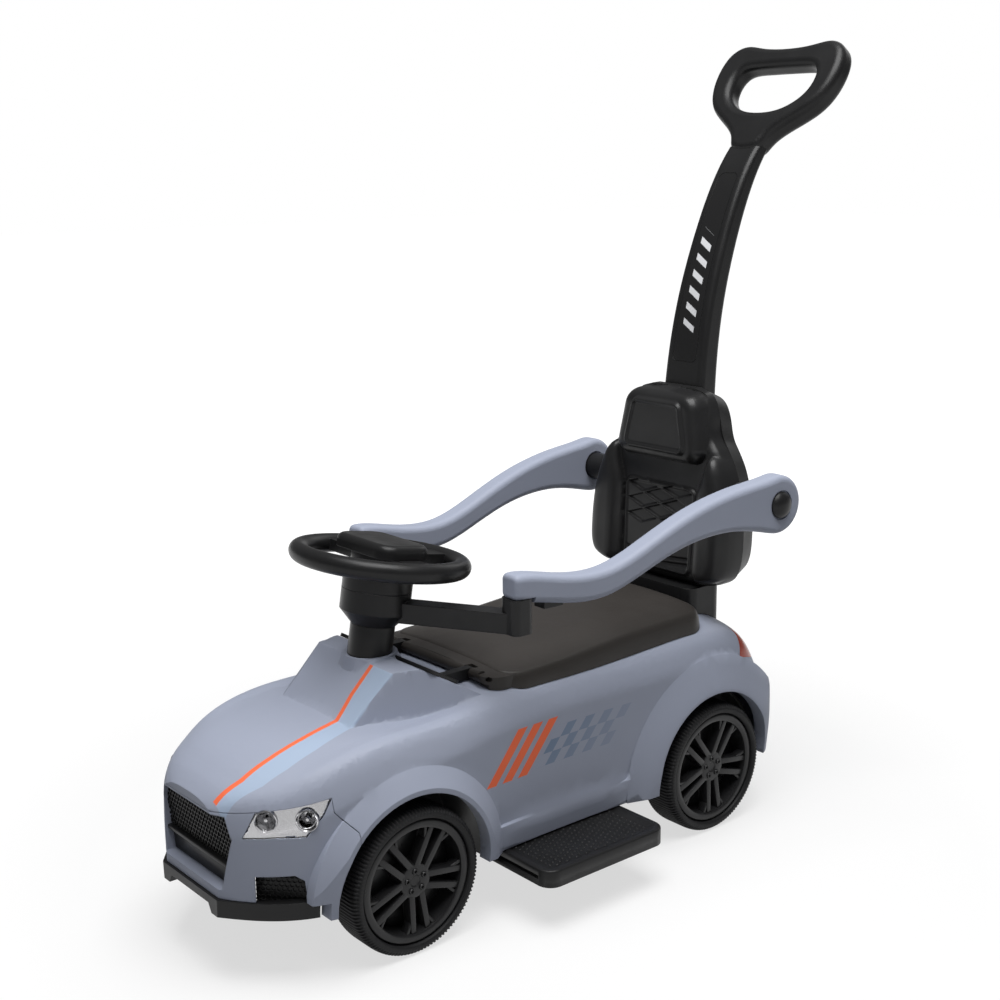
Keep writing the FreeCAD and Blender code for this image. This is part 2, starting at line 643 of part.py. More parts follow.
def front_splitter():
    ahead = -(size.nose_reach + size.splitter_proud)
    wide = size.flare_x
    zone = block(vec(-wide, ahead, ZERO), vec(wide, size.splitter_rear_y, size.fascia_low_z - gap))
    band = body_loft(-float(size.splitter_proud)).cut(body_loft(float(size.splitter_thick)))
    well = rod(vec(-wide, 0, size.wheel_radius), vec(wide, 0, size.wheel_radius),
               size.front_well_radius + size.well_wall + gap)
    half, foot, rise = size.splitter_rise_half, size.sill_z - size.overrun, size.sill_z + size.splitter_rise
    arch = prism([vec(x, ahead, z) for x, z in (
        (-half - size.splitter_step, foot), (half + size.splitter_step, foot), (half, rise), (-half, rise))],
        vec(0, size.splitter_rear_y - ahead, 0))
    return feature(band.common(zone).cut([well, arch]), "front_splitter")


def head_lamps():
    """Clear lens flush with the nose, over a dish with two lamp bowls."""
    zone = front_region(size.seam_gap)
    lens = master.common(zone).common(lamp_prism(gap))
    room = body_loft(float(size.shell_wall + gap)).common(zone)
    dish = lamp_prism(gap * 2).common(room)
    angle = math.radians(float(size.lamp_yaw))
    out = FreeCAD.Vector(math.sin(angle), -math.cos(angle), 0)
    along = FreeCAD.Vector(math.cos(angle), math.sin(angle), 0)
    middle = vec(size.lamp_x, size.lamp_y, size.lamp_z)
    for side in (-1, 1):
        across = along * (side * float(size.lamp_bowl_apart))
        seat = middle + across - out * float(size.lamp_bowl_deep + size.lamp_wall)
        bowl = Part.makeCone(float(size.lamp_bowl_radius) / 2, float(size.lamp_bowl_radius),
                             float(size.lamp_bowl_deep + size.overrun), seat, out)
        dish = dish.cut(bowl)
    dish = max(dish.Solids, key=lambda solid: solid.Volume)
    for side, turn in (("left", lambda shape: shape), ("right", mirrored)):
        feature(turn(lens), f"headlight_lens_{side}")
        feature(turn(dish), f"headlight_reflector_{side}")


def tail_lamps():
    lens = master.common(tail_lamp_prism(gap))
    feature(lens, "taillight_left")
    feature(mirrored(lens), "taillight_right")


def dash_panel():
    """Black slab on the cowl's rear slope, with two lugs for the seat lid's hinge."""
    start_y = size.cowl_ridge_y + size.cowl_flat
    foot_z = size.hood_z - size.overrun
    fall = math.atan2(float(size.cowl_ridge_z - foot_z), float(size.cowl_rear_y - start_y))
    way = FreeCAD.Vector(0, math.cos(fall), -math.sin(fall))
    out = FreeCAD.Vector(0, math.sin(fall), math.cos(fall))
    top = vec(-size.dash_half, start_y, size.cowl_ridge_z) + way * float(size.dash_inset)
    low = top + way * float(size.dash_long)
    thick = out * float(size.dash_thick)
    slab = prism([top, low, low + thick, top + thick], vec(size.dash_half * 2, 0, 0))
    corners = [edge for edge in slab.Edges if edge.Length < float(size.dash_thick) * 2]
    slab = rounded(slab, corners, size.cowl_round)
    reach, eye_radius = size.hinge_lug_wide / 2, size.hinge_knuckle - gap
    lugs = []
    for lug in (size.hinge_lug_x, -size.hinge_lug_x):
        lugs.append(block(vec(lug - reach, low.y - float(size.hinge_lug_wide), hinge_z - eye_radius),
                          vec(lug + reach, size.hinge_y, hinge_z + eye_radius)))
        lugs.append(rod(vec(lug - reach, size.hinge_y, hinge_z), vec(lug + reach, size.hinge_y, hinge_z),
                        eye_radius))
    bore = rod(vec(-size.seat_half, size.hinge_y, hinge_z), vec(size.seat_half, size.hinge_y, hinge_z),
               size.hinge_pin_radius + size.run_fit)
    column = rod(on_column(size.sleeve_foot), on_column(size.collar_low), size.column_boss_radius + gap)
    cuts = [bore, column, body_loft(-float(gap)), cowl_block(-gap)]
    return feature(slab.fuse(lugs).cut(cuts), "dash_panel")


def wheel_well(axle_y, inner_x, radius):
    """Half barrel over one wheel, closed towards the car's middle."""
    wall = size.well_wall
    outside_x = size.body_half_width * SILL_SHARE - size.shell_wall * 4
    start, end = vec(inner_x, axle_y, size.wheel_radius), vec(outside_x, axle_y, size.wheel_radius)
    hollow = rod(start + vec(wall, 0, 0), end + vec(size.overrun, 0, 0), radius)
    barrel = rod(start, end, radius + wall).cut(hollow)
    reach = radius + wall * 2
    above = block(vec(ZERO, axle_y - reach, size.floor_z), vec(size.flare_x, axle_y + reach, size.hood_z))
    return barrel.common(above)


def well_gap(axle_y, inner_x, radius):
    return block(vec(inner_x + size.well_wall, axle_y - radius, ZERO),
                 vec(size.flare_x, axle_y + radius, size.wheel_radius))


def kingpin_bracket():
    """Two ears that carry the steering knuckle's pin."""
    half = size.knuckle_radius + size.link_play
    pieces = []
    for low in (size.knuckle_low_z - size.link_gap - size.bracket_thick, size.knuckle_top_z + size.link_gap):
        base = block(vec(size.front_well_x, -half, low), vec(size.kingpin_x, half, low + size.bracket_thick))
        pieces.append(base.fuse(rod(vec(size.kingpin_x, 0, low),
                                    vec(size.kingpin_x, 0, low + size.bracket_thick), half)))
    web = block(vec(size.front_well_x, -half, size.knuckle_low_z - size.link_gap - size.bracket_thick),
                vec(size.front_well_x + size.well_wall, half, size.knuckle_top_z + size.link_gap))
    return pieces + [web]


def footrest_rails():
    """Ledges under the floor that hold the footrest at its two side grooves."""
    rails = []
    low_z = groove_z + size.slide_gap
    for edge, side in ((size.footrest_front_y, -1), (footrest_rear_y, 1)):
        web_near, web_far = edge + size.slide_gap * side, edge + (size.slide_gap + size.rail_thick) * side
        ledge = edge - size.rail_ledge * side
        ys = sorted([float(web_near), float(web_far)])
        rails.append(block(vec(size.footrest_inner_x, ys[0], low_z),
                           vec(size.floor_half, ys[1], size.floor_z)))
        ys = sorted([float(ledge), float(web_far)])
        rails.append(block(vec(size.footrest_inner_x, ys[0], low_z),
                           vec(size.floor_half, ys[1], low_z + size.rail_thick)))
    return rails


groove_z = size.floor_z - size.slide_gap - size.footrest_high / 2 - size.rail_thick / 2 - size.slide_gap


def chassis_floor():
    """Underbody: flat floor, four wheel wells, kingpin brackets and rails."""
    plate = block(vec(-size.flare_x, size.splitter_rear_y + size.link_gap, size.floor_z),
                  vec(size.flare_x, size.wheelbase + size.tail_reach, size.floor_z + size.floor_thick))
    plate = plate.common(liner)
    wells = [(ZERO, size.front_well_x, size.front_well_radius),
             (size.wheelbase, size.rear_well_x, size.rear_well_radius)]
    gaps, adds = [], []
    for well in wells:
        gaps += both_sides(well_gap, *well)
        adds += both_sides(wheel_well, *well)
    boss_low = size.wheel_radius - size.hub_radius
    for piece in kingpin_bracket() + footrest_rails():
        adds += [piece, mirrored(piece)]
    adds += both_sides(lambda: block(
        vec(size.rear_well_x - size.hub_radius, size.wheelbase - size.hub_radius, boss_low),
        vec(size.rear_well_x, size.wheelbase + size.hub_radius, size.wheel_radius + size.hub_radius)))
    floor = plate.cut(gaps).fuse(adds)
    wide = size.front_well_x + size.well_wall * 2
    sweep = size.tie_rod_wide + size.link_play * 4
    cuts = [block(vec(-wide, size.steer_arm - sweep, size.arm_low_z - size.link_play),
                  vec(wide, size.steer_arm + sweep / 2, size.rod_foot_z))]
    fit = size.run_fit
    cuts += both_sides(lambda: rod(vec(size.kingpin_x, 0, 0), vec(size.kingpin_x, 0, size.hood_z),
                                   size.kingpin_radius + fit))
    cuts.append(rod(vec(-size.flare_x, size.wheelbase, size.wheel_radius),
                    vec(size.flare_x, size.wheelbase, size.wheel_radius), size.axle_radius + fit))
    return feature(floor.cut(cuts), "chassis_floor")


def storage_bin():
    """Tub that hangs under the hatch, trimmed to the underside of the shell."""
    wall = size.bin_wall
    tub = block(vec(-size.bin_half, size.bin_front_y, size.bin_low_z),
                vec(size.bin_half, bin_rear_y, size.cowl_ridge_z))
    upright = [edge for edge in tub.Edges if abs(edge.tangentAt(edge.FirstParameter).z) > 0.9]
    tub = rounded(tub, upright, size.bin_rim * 2)
    hollow = block(vec(wall - size.bin_half, size.bin_front_y + wall, size.bin_low_z + wall),
                   vec(size.bin_half - wall, bin_rear_y - wall, size.cowl_ridge_z))
    return feature(tub.cut(hollow).common(liner), "storage_bin")


def seat_skin(low, high):
    return body_loft(-float(high)).cut(body_loft(-float(low)))


def seat_lid():
    """Saddle panel: a crowned skin over the deck with hinge knuckles at its front."""
    half, front, rear = size.seat_half, size.seat_front_y, seat_rear_y
    plan = block(vec(-half, front, ZERO), vec(half, rear, size.cowl_ridge_z))
    upright = [edge for edge in plan.Edges if abs(edge.tangentAt(edge.FirstParameter).z) > 0.9]
    plan = rounded(plan, upright, size.seat_corner)
    upper = block(vec(-half, front, size.cowl_root_z - size.seat_thick), vec(half, rear, size.cowl_ridge_z))
    lid = plan.common(upper).common(seat_skin(size.seat_gap, size.seat_thick))
    rim, start = size.seat_thick, size.hinge_y + size.hinge_knuckle + size.seat_thick
    under = block(vec(rim - half, start, ZERO), vec(half - rim, seat_rear_y - rim, size.cowl_ridge_z))
    lid = lid.cut(under.common(body_loft(-float(size.seat_thick - size.seat_wall))))
    ahead = block(vec(-half, front, ZERO), vec(half, size.hinge_y, size.cowl_ridge_z))
    turn = rod(vec(-half, size.hinge_y, hinge_z), vec(half, size.hinge_y, hinge_z), size.hinge_knuckle)
    lid = lid.cut(ahead.cut(turn))
    reach, room = size.hinge_lug_wide / 2 + size.link_gap, size.hinge_knuckle + size.link_play * 2
    half_long = size.hinge_pin_long / 2
    barrels = []
    cuts = [rod(vec(-half, size.hinge_y, hinge_z), vec(half, size.hinge_y, hinge_z),
                size.hinge_pin_radius + size.run_fit)]
    for lug in (size.hinge_lug_x, -size.hinge_lug_x):
        barrels.append(rod(vec(lug - half_long, size.hinge_y, hinge_z),
                           vec(lug + half_long, size.hinge_y, hinge_z), size.hinge_knuckle))
        cuts.append(block(vec(lug - reach, front - room, ZERO),
                          vec(lug + reach, size.hinge_y + room, size.cowl_ridge_z)))
    return feature(lid.fuse(barrels).cut(cuts), "seat_lid")


def seat_hinge_pins():
    half_long = size.hinge_pin_long / 2
    pins = [rod(vec(x - half_long, size.hinge_y, hinge_z), vec(x + half_long, size.hinge_y, hinge_z),
                size.hinge_pin_radius) for x in (size.hinge_lug_x, -size.hinge_lug_x)]
    return feature(Part.makeCompound(pins), "seat_hinge_pins")


def backrest_plinth():
    """Block on the deck under the backrest."""
    plinth = block(vec(-size.plinth_half, plinth_front_y, size.cowl_root_z),
                   vec(size.plinth_half, plinth_rear_y, size.back_low_z - gap))
    upright = [edge for edge in plinth.Edges if abs(edge.tangentAt(edge.FirstParameter).z) > 0.9]
    plinth = rounded(plinth, upright, size.panel_round)
    return feature(plinth.cut(body_loft(-float(gap))), "backrest_plinth")


def back_outline(y, shrink):
    """Backrest outline at one depth: a closed smooth curve, drawn in by shrink."""
    half, high = size.back_half - shrink, size.back_high - shrink * 2
    low = size.back_low_z + shrink
    right = [vec(half * wide, y, low + high * up) for up, wide in BACK_SHARES]
    poles = right + [FreeCAD.Vector(-point.x, point.y, point.z) for point in reversed(right)]
    return Part.Wire([curve_through_poles(poles), Part.makeLine(poles[-1], poles[0])])


def rounded_plate(half, low, high, y, thick, radius):
    """An upright plate with rounded corners, facing the front."""
    plate = block(vec(-half, y, low), vec(half, y + thick, high))
    along = [edge for edge in plate.Edges if abs(edge.tangentAt(edge.FirstParameter).y) > 0.9]
    return rounded(plate, along, radius)


def reclined(shape):
    """Lean a backrest piece back about the parting line's foot."""
    return turned_copy(shape, vec(0, back_parting_y, size.back_low_z), AXIS_X, -size.back_lean)


def hub_bores():
    start, end = size.back_half * BORE_SHARE, size.guard_x
    return both_sides(lambda: rod(vec(start, guard_pivot_y, size.guard_pivot_z),
                                  vec(end, guard_pivot_y, size.guard_pivot_z),
                                  size.hub_stub_radius + gap))


def back_half_shell(parting, far, deep):
    """One half of the backrest as a solid loft, and the hollow inside it."""
    wall = size.back_wall
    side = 1 if float(far) > float(parting) else -1
    solid = Part.makeLoft([back_outline(parting, ZERO), back_outline(far, size.back_draft)], True, True)
    floor_draft = size.back_draft * (1 - float(wall) / float(deep)) + wall
    ends = [back_outline(parting - gap * side, wall), back_outline(far - wall * side, floor_draft)]
    hollow = Part.makeLoft(ends, True, True)
    return solid, hollow


def quilt(low, high, front):
    """Crossed raised seams on the floor of the sunk panel."""
    floor, inset = front + size.panel_deep, size.quilt_margin
    half, reach, proud = size.quilt_bar / 2, size.panel_half * 2, size.quilt_proud
    middle = vec(0, floor, (low + high) / 2)
    foot = size.back_wall / 2
    field = rounded_plate(size.panel_half - inset, low + inset, high - inset, floor - proud, proud + foot,
                          size.panel_round)
    bars = []
    for step in range(-QUILT_ROWS, QUILT_ROWS + 1):
        place = size.quilt_pitch * step
        bar = block(vec(place - half, floor - proud, middle.z - float(reach)),
                    vec(place + half, floor + foot, middle.z + float(reach)))
        for angle in (QUILT_ANGLE, -QUILT_ANGLE):
            bars.append(turned_copy(bar, middle, AXIS_Y, angle).common(field))
    return [bar for bar in bars if bar.Solids]


def backrest_front():
    """Padded front moulding: bolsters round a sunk panel, head pillow above."""
    parting, front = back_parting_y - gap / 2, back_parting_y - size.back_front_deep
    shell, hollow = back_half_shell(parting, front, size.back_front_deep)
    low, high, wall = size.back_low_z + size.panel_low, size.panel_high, size.back_wall
    sunk = size.panel_deep + size.overrun
    panel = rounded_plate(size.panel_half, low, low + high, front - size.overrun, sunk, size.panel_round)
    behind = rounded_plate(size.panel_half + wall, low - wall, low + high + wall, front - size.overrun,
                           sunk + wall, size.panel_round + wall)
    pillow_low = size.back_low_z + size.pillow_low
    pillow = rounded_plate(size.pillow_half, pillow_low, pillow_low + size.pillow_high,
                           front - size.pillow_proud, size.pillow_proud + wall, size.pillow_round)
    rim = [edge for edge in pillow.Edges if edge.CenterOfMass.y < float(front - size.pillow_proud) + 1e-6]
    pillow = rounded(pillow, rim, size.pillow_proud * PILLOW_SHARE)
    shell = shell.cut(hollow.cut(behind)).cut(panel).fuse([pillow] + quilt(low, low + high, front))
    return feature(reclined(shell).cut(hub_bores()), "backrest_front")


def stem_wire(share_z, share_y, grow):
    """One rounded section of the handle's stem."""
    z = size.stem_low_z + (size.stem_top_z - size.stem_low_z) * share_z
    y = stem_foot_y + (neck_y - stem_foot_y) * share_y
    half = size.stem_low_half + (size.stem_top_half - size.stem_low_half) * share_z + grow
    deep = (size.stem_low_deep + (size.stem_top_deep - size.stem_low_deep) * share_z) / 2 + grow
    radius = size.stem_round + grow
    plate = Part.makePlane(float(half * 2), float(deep * 2), vec(-half, y - deep, z))
    wire = plate.OuterWire
    corners = [vertex.Point for vertex in wire.OrderedVertexes]
    edges = []
    for index, corner in enumerate(corners):
        before = (corners[index - 1] - corner).normalize()
        after = (corners[(index + 1) % len(corners)] - corner).normalize()
        ahead = corners[(index + 1) % len(corners)] - after * float(radius)
        reach = float(radius)
        start, end = corner + before * reach, corner + after * reach
        middle = corner + (before + after) * (reach * (1 - math.sqrt(0.5)))
        edges.append(Part.Arc(start, middle, end).toShape())
        edges.append(Part.makeLine(end, ahead))
    return Part.Wire(edges)


def stem_loft(grow, below=ZERO):
    """The handle's stem, grown all round and let down below its foot."""
    wires = [stem_wire(up, back, grow) for up, back in STEM_SHARES]
    stem = Part.makeLoft(wires, True, False)
    if float(below):
        stem = stem.fuse(Part.Face(wires[0]).extrude(vec(0, 0, -below)))
    return stem


lean = math.radians(float(size.loop_lean))
loop_rise = FreeCAD.Vector(0, math.sin(lean), math.cos(lean))
loop_out = FreeCAD.Vector(0, math.cos(lean), -math.sin(lean))


def loop_face(shares, half, low, high):
    """A flat closed outline in the leaning plane of the grip."""
    right = [(half * across, low + (high - low) * up) for across, up in shares]
    poles = [vec(x, 0, 0) + loop_rise * float(v) for x, v in right]
    poles += [vec(-x, 0, 0) + loop_rise * float(v) for x, v in reversed(right)]
    return smooth_face(poles)


def loop_grip():
    """The D-shaped loop, with the foot of its neck at the origin."""
    plate = loop_face(LOOP_SHARES, size.loop_half, ZERO, size.loop_high)
    hole = loop_face(GRIP_SHARES, size.loop_half - size.loop_bar, size.loop_high * GRIP_LOW_SHARE,
                     size.loop_high - size.loop_bar)
    loop = plate.cut(hole).extrude(loop_out * float(size.loop_thick))
    rims = [edge for edge in loop.Edges if edge.Length > float(size.loop_thick) * 2]
    loop = rounded(loop, rims, size.loop_round)
    loop.translate(loop_out * float(-size.loop_thick / 2))
    return loop


grip = loop_grip()
neck_y = handle_reach - grip.optimalBoundingBox().YMax
back_slope = math.tan(math.radians(float(size.back_lean)))
stem_foot_y = (back_parting_y + (size.stem_low_z - size.back_low_z) * back_slope
               + size.stem_low_deep / 2 + size.socket_fit * 2)


def push_handle():
    """Curved stem and loop grip in one moulding, with a sunk strip in front."""
    stem = stem_loft(ZERO)
    loop = grip.copy()
    loop.translate(vec(0, neck_y, size.stem_top_z))
    skin, strip = inlay_skin(stem, ZERO)
    return feature(stem.fuse(loop).cut(skin.common(strip)), "push_handle")


def inlay_skin(stem, margin):
    """The stem's front skin, and the tapered strip that trims it."""
    behind = stem.copy()
    behind.translate(vec(0, size.inlay_deep, 0))
    low_half, top_half = size.inlay_low_half - margin, size.inlay_top_half - margin
    low, high = size.inlay_low_z + margin, size.inlay_high_z - margin
    ahead = stem_foot_y - size.stem_low_deep
    points = [vec(-low_half, ahead, low), vec(low_half, ahead, low), vec(top_half, ahead, high),
              vec(-top_half, ahead, high)]
    strip = prism(points, vec(0, neck_y - ahead, 0))
    along = [edge for edge in strip.Edges if abs(edge.tangentAt(edge.FirstParameter).y) > 0.9]
    return stem.cut(behind), rounded(strip, along, size.stem_round)


def handle_inlay():
    skin, strip = inlay_skin(stem_loft(ZERO), gap)
    front = max(skin.common(strip).Solids, key=lambda solid: solid.Volume)
    return feature(front, "handle_inlay")


def backrest_rear():
    """Back moulding with the socket that takes the handle's stem."""
    parting, rear = back_parting_y + gap / 2, back_parting_y + size.back_rear_deep
    shell, hollow = back_half_shell(parting, rear, size.back_rear_deep)
    shell = reclined(shell)
    low, high = size.stem_low_z - size.socket_wall, size.back_low_z + size.back_high * SOCKET_SHARE
    zone = block(vec(-size.back_half, back_parting_y, low), vec(size.back_half, handle_reach, high))
    ahead = reclined(block(vec(-size.back_half, plinth_front_y, ZERO),
                           vec(size.back_half, parting, size.stem_top_z)))
    tube = stem_loft(size.socket_wall + size.socket_fit, size.socket_wall).common(zone).cut(ahead)
    shell = shell.cut(reclined(hollow)).fuse(tube)
    shell = shell.cut([stem_loft(size.socket_fit, size.socket_fit)] + hub_bores())
    return feature(shell, "backrest_rear")


def turned_body(label, profile):
    """A turned piece about the sketch's upright axis."""
    body = new_body(label)
    revolve(body, sketch_on(body, "XZ_Plane", [profile]), "V_Axis")
    return body


def tilted(body, label):
    """Set a piece that was drawn upright onto the leaning steering axis."""
    body.Placement = FreeCAD.Placement(ORIGIN, FreeCAD.Rotation(AXIS_X, -float(size.column_tilt)))
    return keep(body, label, ZERO, size.column_y, size.wheel_z)


def column_sleeve():
    bore, top = size.rod_radius + gap, -(size.collar_low + size.collar_taper)
    body = turned_body("column_sleeve", [
        (bore, -size.sleeve_foot), (size.sleeve_radius, -size.sleeve_foot),
        (size.sleeve_radius, top), (bore, top)])
    return tilted(body, "column_sleeve")


def steering_hub():
    bore, low, top = size.rod_radius + size.run_fit, gap - size.collar_top, -size.hub_top
    body = turned_body("steering_hub", [
        (bore, low), (size.collar_radius, low), (size.collar_radius, top - size.hub_step),
        (size.collar_radius - size.hub_step, top), (bore, top)])
    return tilted(body, "steering_hub")


def primitive(kind, name, sizes, where, turn=None):
    """A Part solid with its sizes and place bound to the sheet."""
    obj = doc.addObject(kind, name)
    for prop, dim in sizes.items():
        obj.setExpression(prop, dim.text)
    if turn:
        obj.Placement = FreeCAD.Placement(ORIGIN, FreeCAD.Rotation(*turn))
    place(obj, *where)
    return obj


def fused(name, pieces):
    joined = doc.addObject("Part::MultiFuse", name)
    joined.Shapes = pieces
    joined.Refine = True
    return joined


def steering_wheel():
    """Round rim, a cross bar, a rear spoke and the boss they meet in."""
    reach, half, low = size.steer_radius - size.steer_rim, size.spoke_bar / 2, -size.spoke_thick / 2
    ring = {"Radius1": reach, "Radius2": size.steer_rim}
    bar = {"Length": reach * 2, "Width": size.spoke_bar, "Height": size.spoke_thick}
    spoke = {"Length": size.spoke_bar, "Width": reach, "Height": size.spoke_thick}
    boss = {"Radius": size.collar_radius - size.hub_step, "Height": size.hub_top + size.spoke_thick / 2}
    pieces = [
        primitive("Part::Torus", "steer_ring", ring, (ZERO, ZERO, ZERO)),
        primitive("Part::Box", "steer_cross_bar", bar, (-reach, -half, low)),
        primitive("Part::Box", "steer_rear_spoke", spoke, (-half, ZERO, low)),
        primitive("Part::Cylinder", "steer_boss", boss, (ZERO, ZERO, -size.hub_top)),
    ]
    return tilted(fused("steering_wheel", pieces), "steering_wheel")


def steering_pad():
    body = new_body("steering_pad")
    half_x, half_y = size.pad_half_x, size.pad_long / 2
    sketch = sketch_on(body, "XY_Plane", [[
        (-half_x, -half_y), (half_x, -half_y), (half_x, half_y), (-half_x, half_y)]])
    sketch.setExpression("AttachmentOffset.Base.z", (size.spoke_thick / 2).text)
    grown = pad(body, sketch, size.pad_thick)
    upright = edges_where(grown, lambda edge: abs(edge.tangentAt(edge.FirstParameter).z) > 0.9)
    soft = dress(body, "PartDesign::Fillet", grown, upright, size.pad_long * PAD_CORNER_SHARE)
    top = edges_where(soft, lambda edge: edge.BoundBox.ZMin > float(size.pad_thick))
    dress(body, "PartDesign::Fillet", soft, top, size.pad_thick / 2)
    return tilted(body, "steering_pad")


foot_drop = (size.wheel_z - size.rod_foot_z) / math.cos(tilt)
tie_low_z = size.arm_low_z + size.arm_thick + size.link_gap
crank_long = (size.steer_arm - on_column(foot_drop).y
              + (size.rod_foot_z - tie_low_z - size.tie_rod_thick / 2) * math.tan(tilt)) * math.cos(tilt)


def steering_rod():
    """Steel rod from the wheel's boss to a crank whose pin drives the tie rod."""
    foot = on_column(foot_drop)
    shaft = rod(foot, on_column(size.hub_top), size.rod_radius)
    arm_way = FreeCAD.Vector(0, math.cos(tilt), -math.sin(tilt))
    half, thick = size.crank_wide / 2, size.crank_thick
    arm = block(vec(-half, ZERO, ZERO), vec(half, crank_long, thick))
    arm = arm.fuse(rod(vec(0, crank_long, 0), vec(0, crank_long, thick), half))
    arm.rotate(ORIGIN, AXIS_X, -float(size.column_tilt))
    arm.translate(foot)
    pin_top = foot + arm_way * float(crank_long) + column_axis * (float(thick) / 2)
    drop = (pin_top.z - float(tie_low_z)) / math.cos(tilt)
    pin = rod(pin_top, pin_top - column_axis * drop, size.ball_pin_radius)
    return feature(shaft.fuse([arm, pin]), "steering_rod")


def knuckle(side, sign):
    """Upright with kingpin, stub axle and steering arm."""
    x = size.kingpin_x * sign
    ear = size.link_gap + size.bracket_thick
    high = size.knuckle_top_z - size.knuckle_low_z
    name = f"knuckle_{side}"
    upright = {"Radius": size.knuckle_radius, "Height": high}
    pin = {"Radius": size.kingpin_radius, "Height": high + ear * 2}
    stub = {"Radius": size.axle_radius, "Height": size.wheel_face_x - size.kingpin_x - size.axle_set}
    arm = {"Length": size.arm_wide, "Width": size.steer_arm + size.arm_wide / 2, "Height": size.arm_thick}
    ball = {"Radius": size.ball_pin_radius, "Height": size.arm_thick + size.link_gap + size.tie_rod_thick}
    pieces = [
        primitive("Part::Cylinder", f"{name}_upright", upright, (x, ZERO, size.knuckle_low_z)),
        primitive("Part::Cylinder", f"{name}_pin", pin, (x, ZERO, size.knuckle_low_z - ear)),
        primitive("Part::Cylinder", f"{name}_stub", stub, (x, ZERO, size.wheel_radius), (AXIS_Y, 90 * sign)),
        primitive("Part::Box", f"{name}_arm", arm, (x - size.arm_wide / 2, ZERO, size.arm_low_z)),
        primitive("Part::Cylinder", f"{name}_ball", ball, (x, size.steer_arm, size.arm_low_z)),
    ]
    return keep(fused(name, pieces), name)


def tie_rod():
    """Flat bar with three slots, one for each steering pin."""
    body = new_body("tie_rod")
    reach, half = size.kingpin_x + size.tie_rod_wide / 2, size.tie_rod_wide / 2
    middle = size.steer_arm - size.link_swing / 2
    bar = [(-reach, middle - half), (reach, middle - half), (reach, middle + half), (-reach, middle + half)]
    pad(body, sketch_on(body, "XY_Plane", [bar]), size.tie_rod_thick)
    slots = []
    room = size.ball_pin_radius + size.link_play
    for x in (-size.kingpin_x, ZERO, size.kingpin_x):
        near, far = size.steer_arm - room - size.link_swing, size.steer_arm + room
        slots.append([(x - room, near), (x + room, near), (x + room, far), (x - room, far)])
    pocket(body, sketch_on(body, "XY_Plane", slots), size.tie_rod_thick, backwards=True)
    return keep(body, "tie_rod", ZERO, ZERO, tie_low_z)


def wheel_place(body, label, sign, axle_y):
    """Set a wheel piece, drawn for the left side, on either end of an axle."""
    body.Placement = FreeCAD.Placement(ORIGIN, FreeCAD.Rotation(AXIS_Z, 0 if sign > 0 else 180))
    return keep(body, label, size.wheel_face_x * sign, axle_y, size.wheel_radius)


def tyre(label, sign, axle_y):
    body = new_body(label)
    wide, bead, shoulder = size.tyre_width, size.tyre_bead, size.tyre_shoulder
    seat, tread = size.rim_radius, size.wheel_radius
    revolve(body, sketch_on(body, "XZ_Plane", [[
        (-bead, seat), (ZERO, seat + bead), (ZERO, tread - shoulder), (-shoulder, tread),
        (shoulder - wide, tread), (-wide, tread - shoulder), (-wide, seat + bead), (bead - wide, seat)]]))
    return wheel_place(body, label, sign, axle_y)


def rim(label, sign, axle_y):
    """Dished rim: barrel, back disc, boss with a blind bore and five twin spokes."""
    body = new_body(label)
    face, back, lip = size.rim_recess, size.tyre_width - size.rim_recess, size.tyre_bead
    barrel = size.rim_radius - gap / 2
    inside, bore, bore_end = barrel - size.rim_wall, size.axle_radius + size.run_fit, face + size.rim_disc
    revolve(body, sketch_on(body, "XZ_Plane", [[
        (-face, ZERO), (-face, size.hub_radius), (size.rim_disc - back, size.hub_radius),
        (size.rim_disc - back, inside), (-lip, inside), (-lip, barrel), (-back, barrel), (-back, bore),
        (-bore_end, bore), (-bore_end, ZERO)]]))
    near, far = size.hub_radius - size.lug_depth, inside + size.rim_wall / 2
    edge = size.spoke_gap / 2
    bars = []
    for side in (1, -1):
        wide = edge + size.spoke_splay
        bars.append([(edge * side / 2, near), ((edge / 2 + size.spoke_width) * side, near),
                     ((wide + size.spoke_width) * side, far), (wide * side, far)])
    spokes = sketch_on(body, "YZ_Plane", bars)
    spokes.setExpression("AttachmentOffset.Base.z", (-face).text)
    pattern(body, pad(body, spokes, size.spoke_depth, backwards=True), spokes)
    lugs = sketch_on(body, "YZ_Plane", [((ZERO, -size.lug_circle), size.lug_radius)])
    lugs.setExpression("AttachmentOffset.Base.z", (-face).text)
    pattern(body, pocket(body, lugs, size.lug_depth), lugs)
    return wheel_place(body, label, sign, axle_y)


def pattern(body, original, sketch):
    ring = body.newObject("PartDesign::PolarPattern", f"{body.Name}_ring")
    ring.Originals = [original]
    ring.Axis = (sketch, ["N_Axis"])
    ring.Angle = FULL_TURN
    ring.Occurrences = SPOKE_PAIRS
    body.Tip = ring
    return ring


def rear_axle():
    half = size.wheel_face_x - size.axle_set
    axle = primitive("Part::Cylinder", "rear_axle", {"Radius": size.axle_radius, "Height": half * 2},
                     (ZERO, ZERO, ZERO), (AXIS_Y, 90))
    return keep(axle, "rear_axle", -half, size.wheelbase, size.wheel_radius)


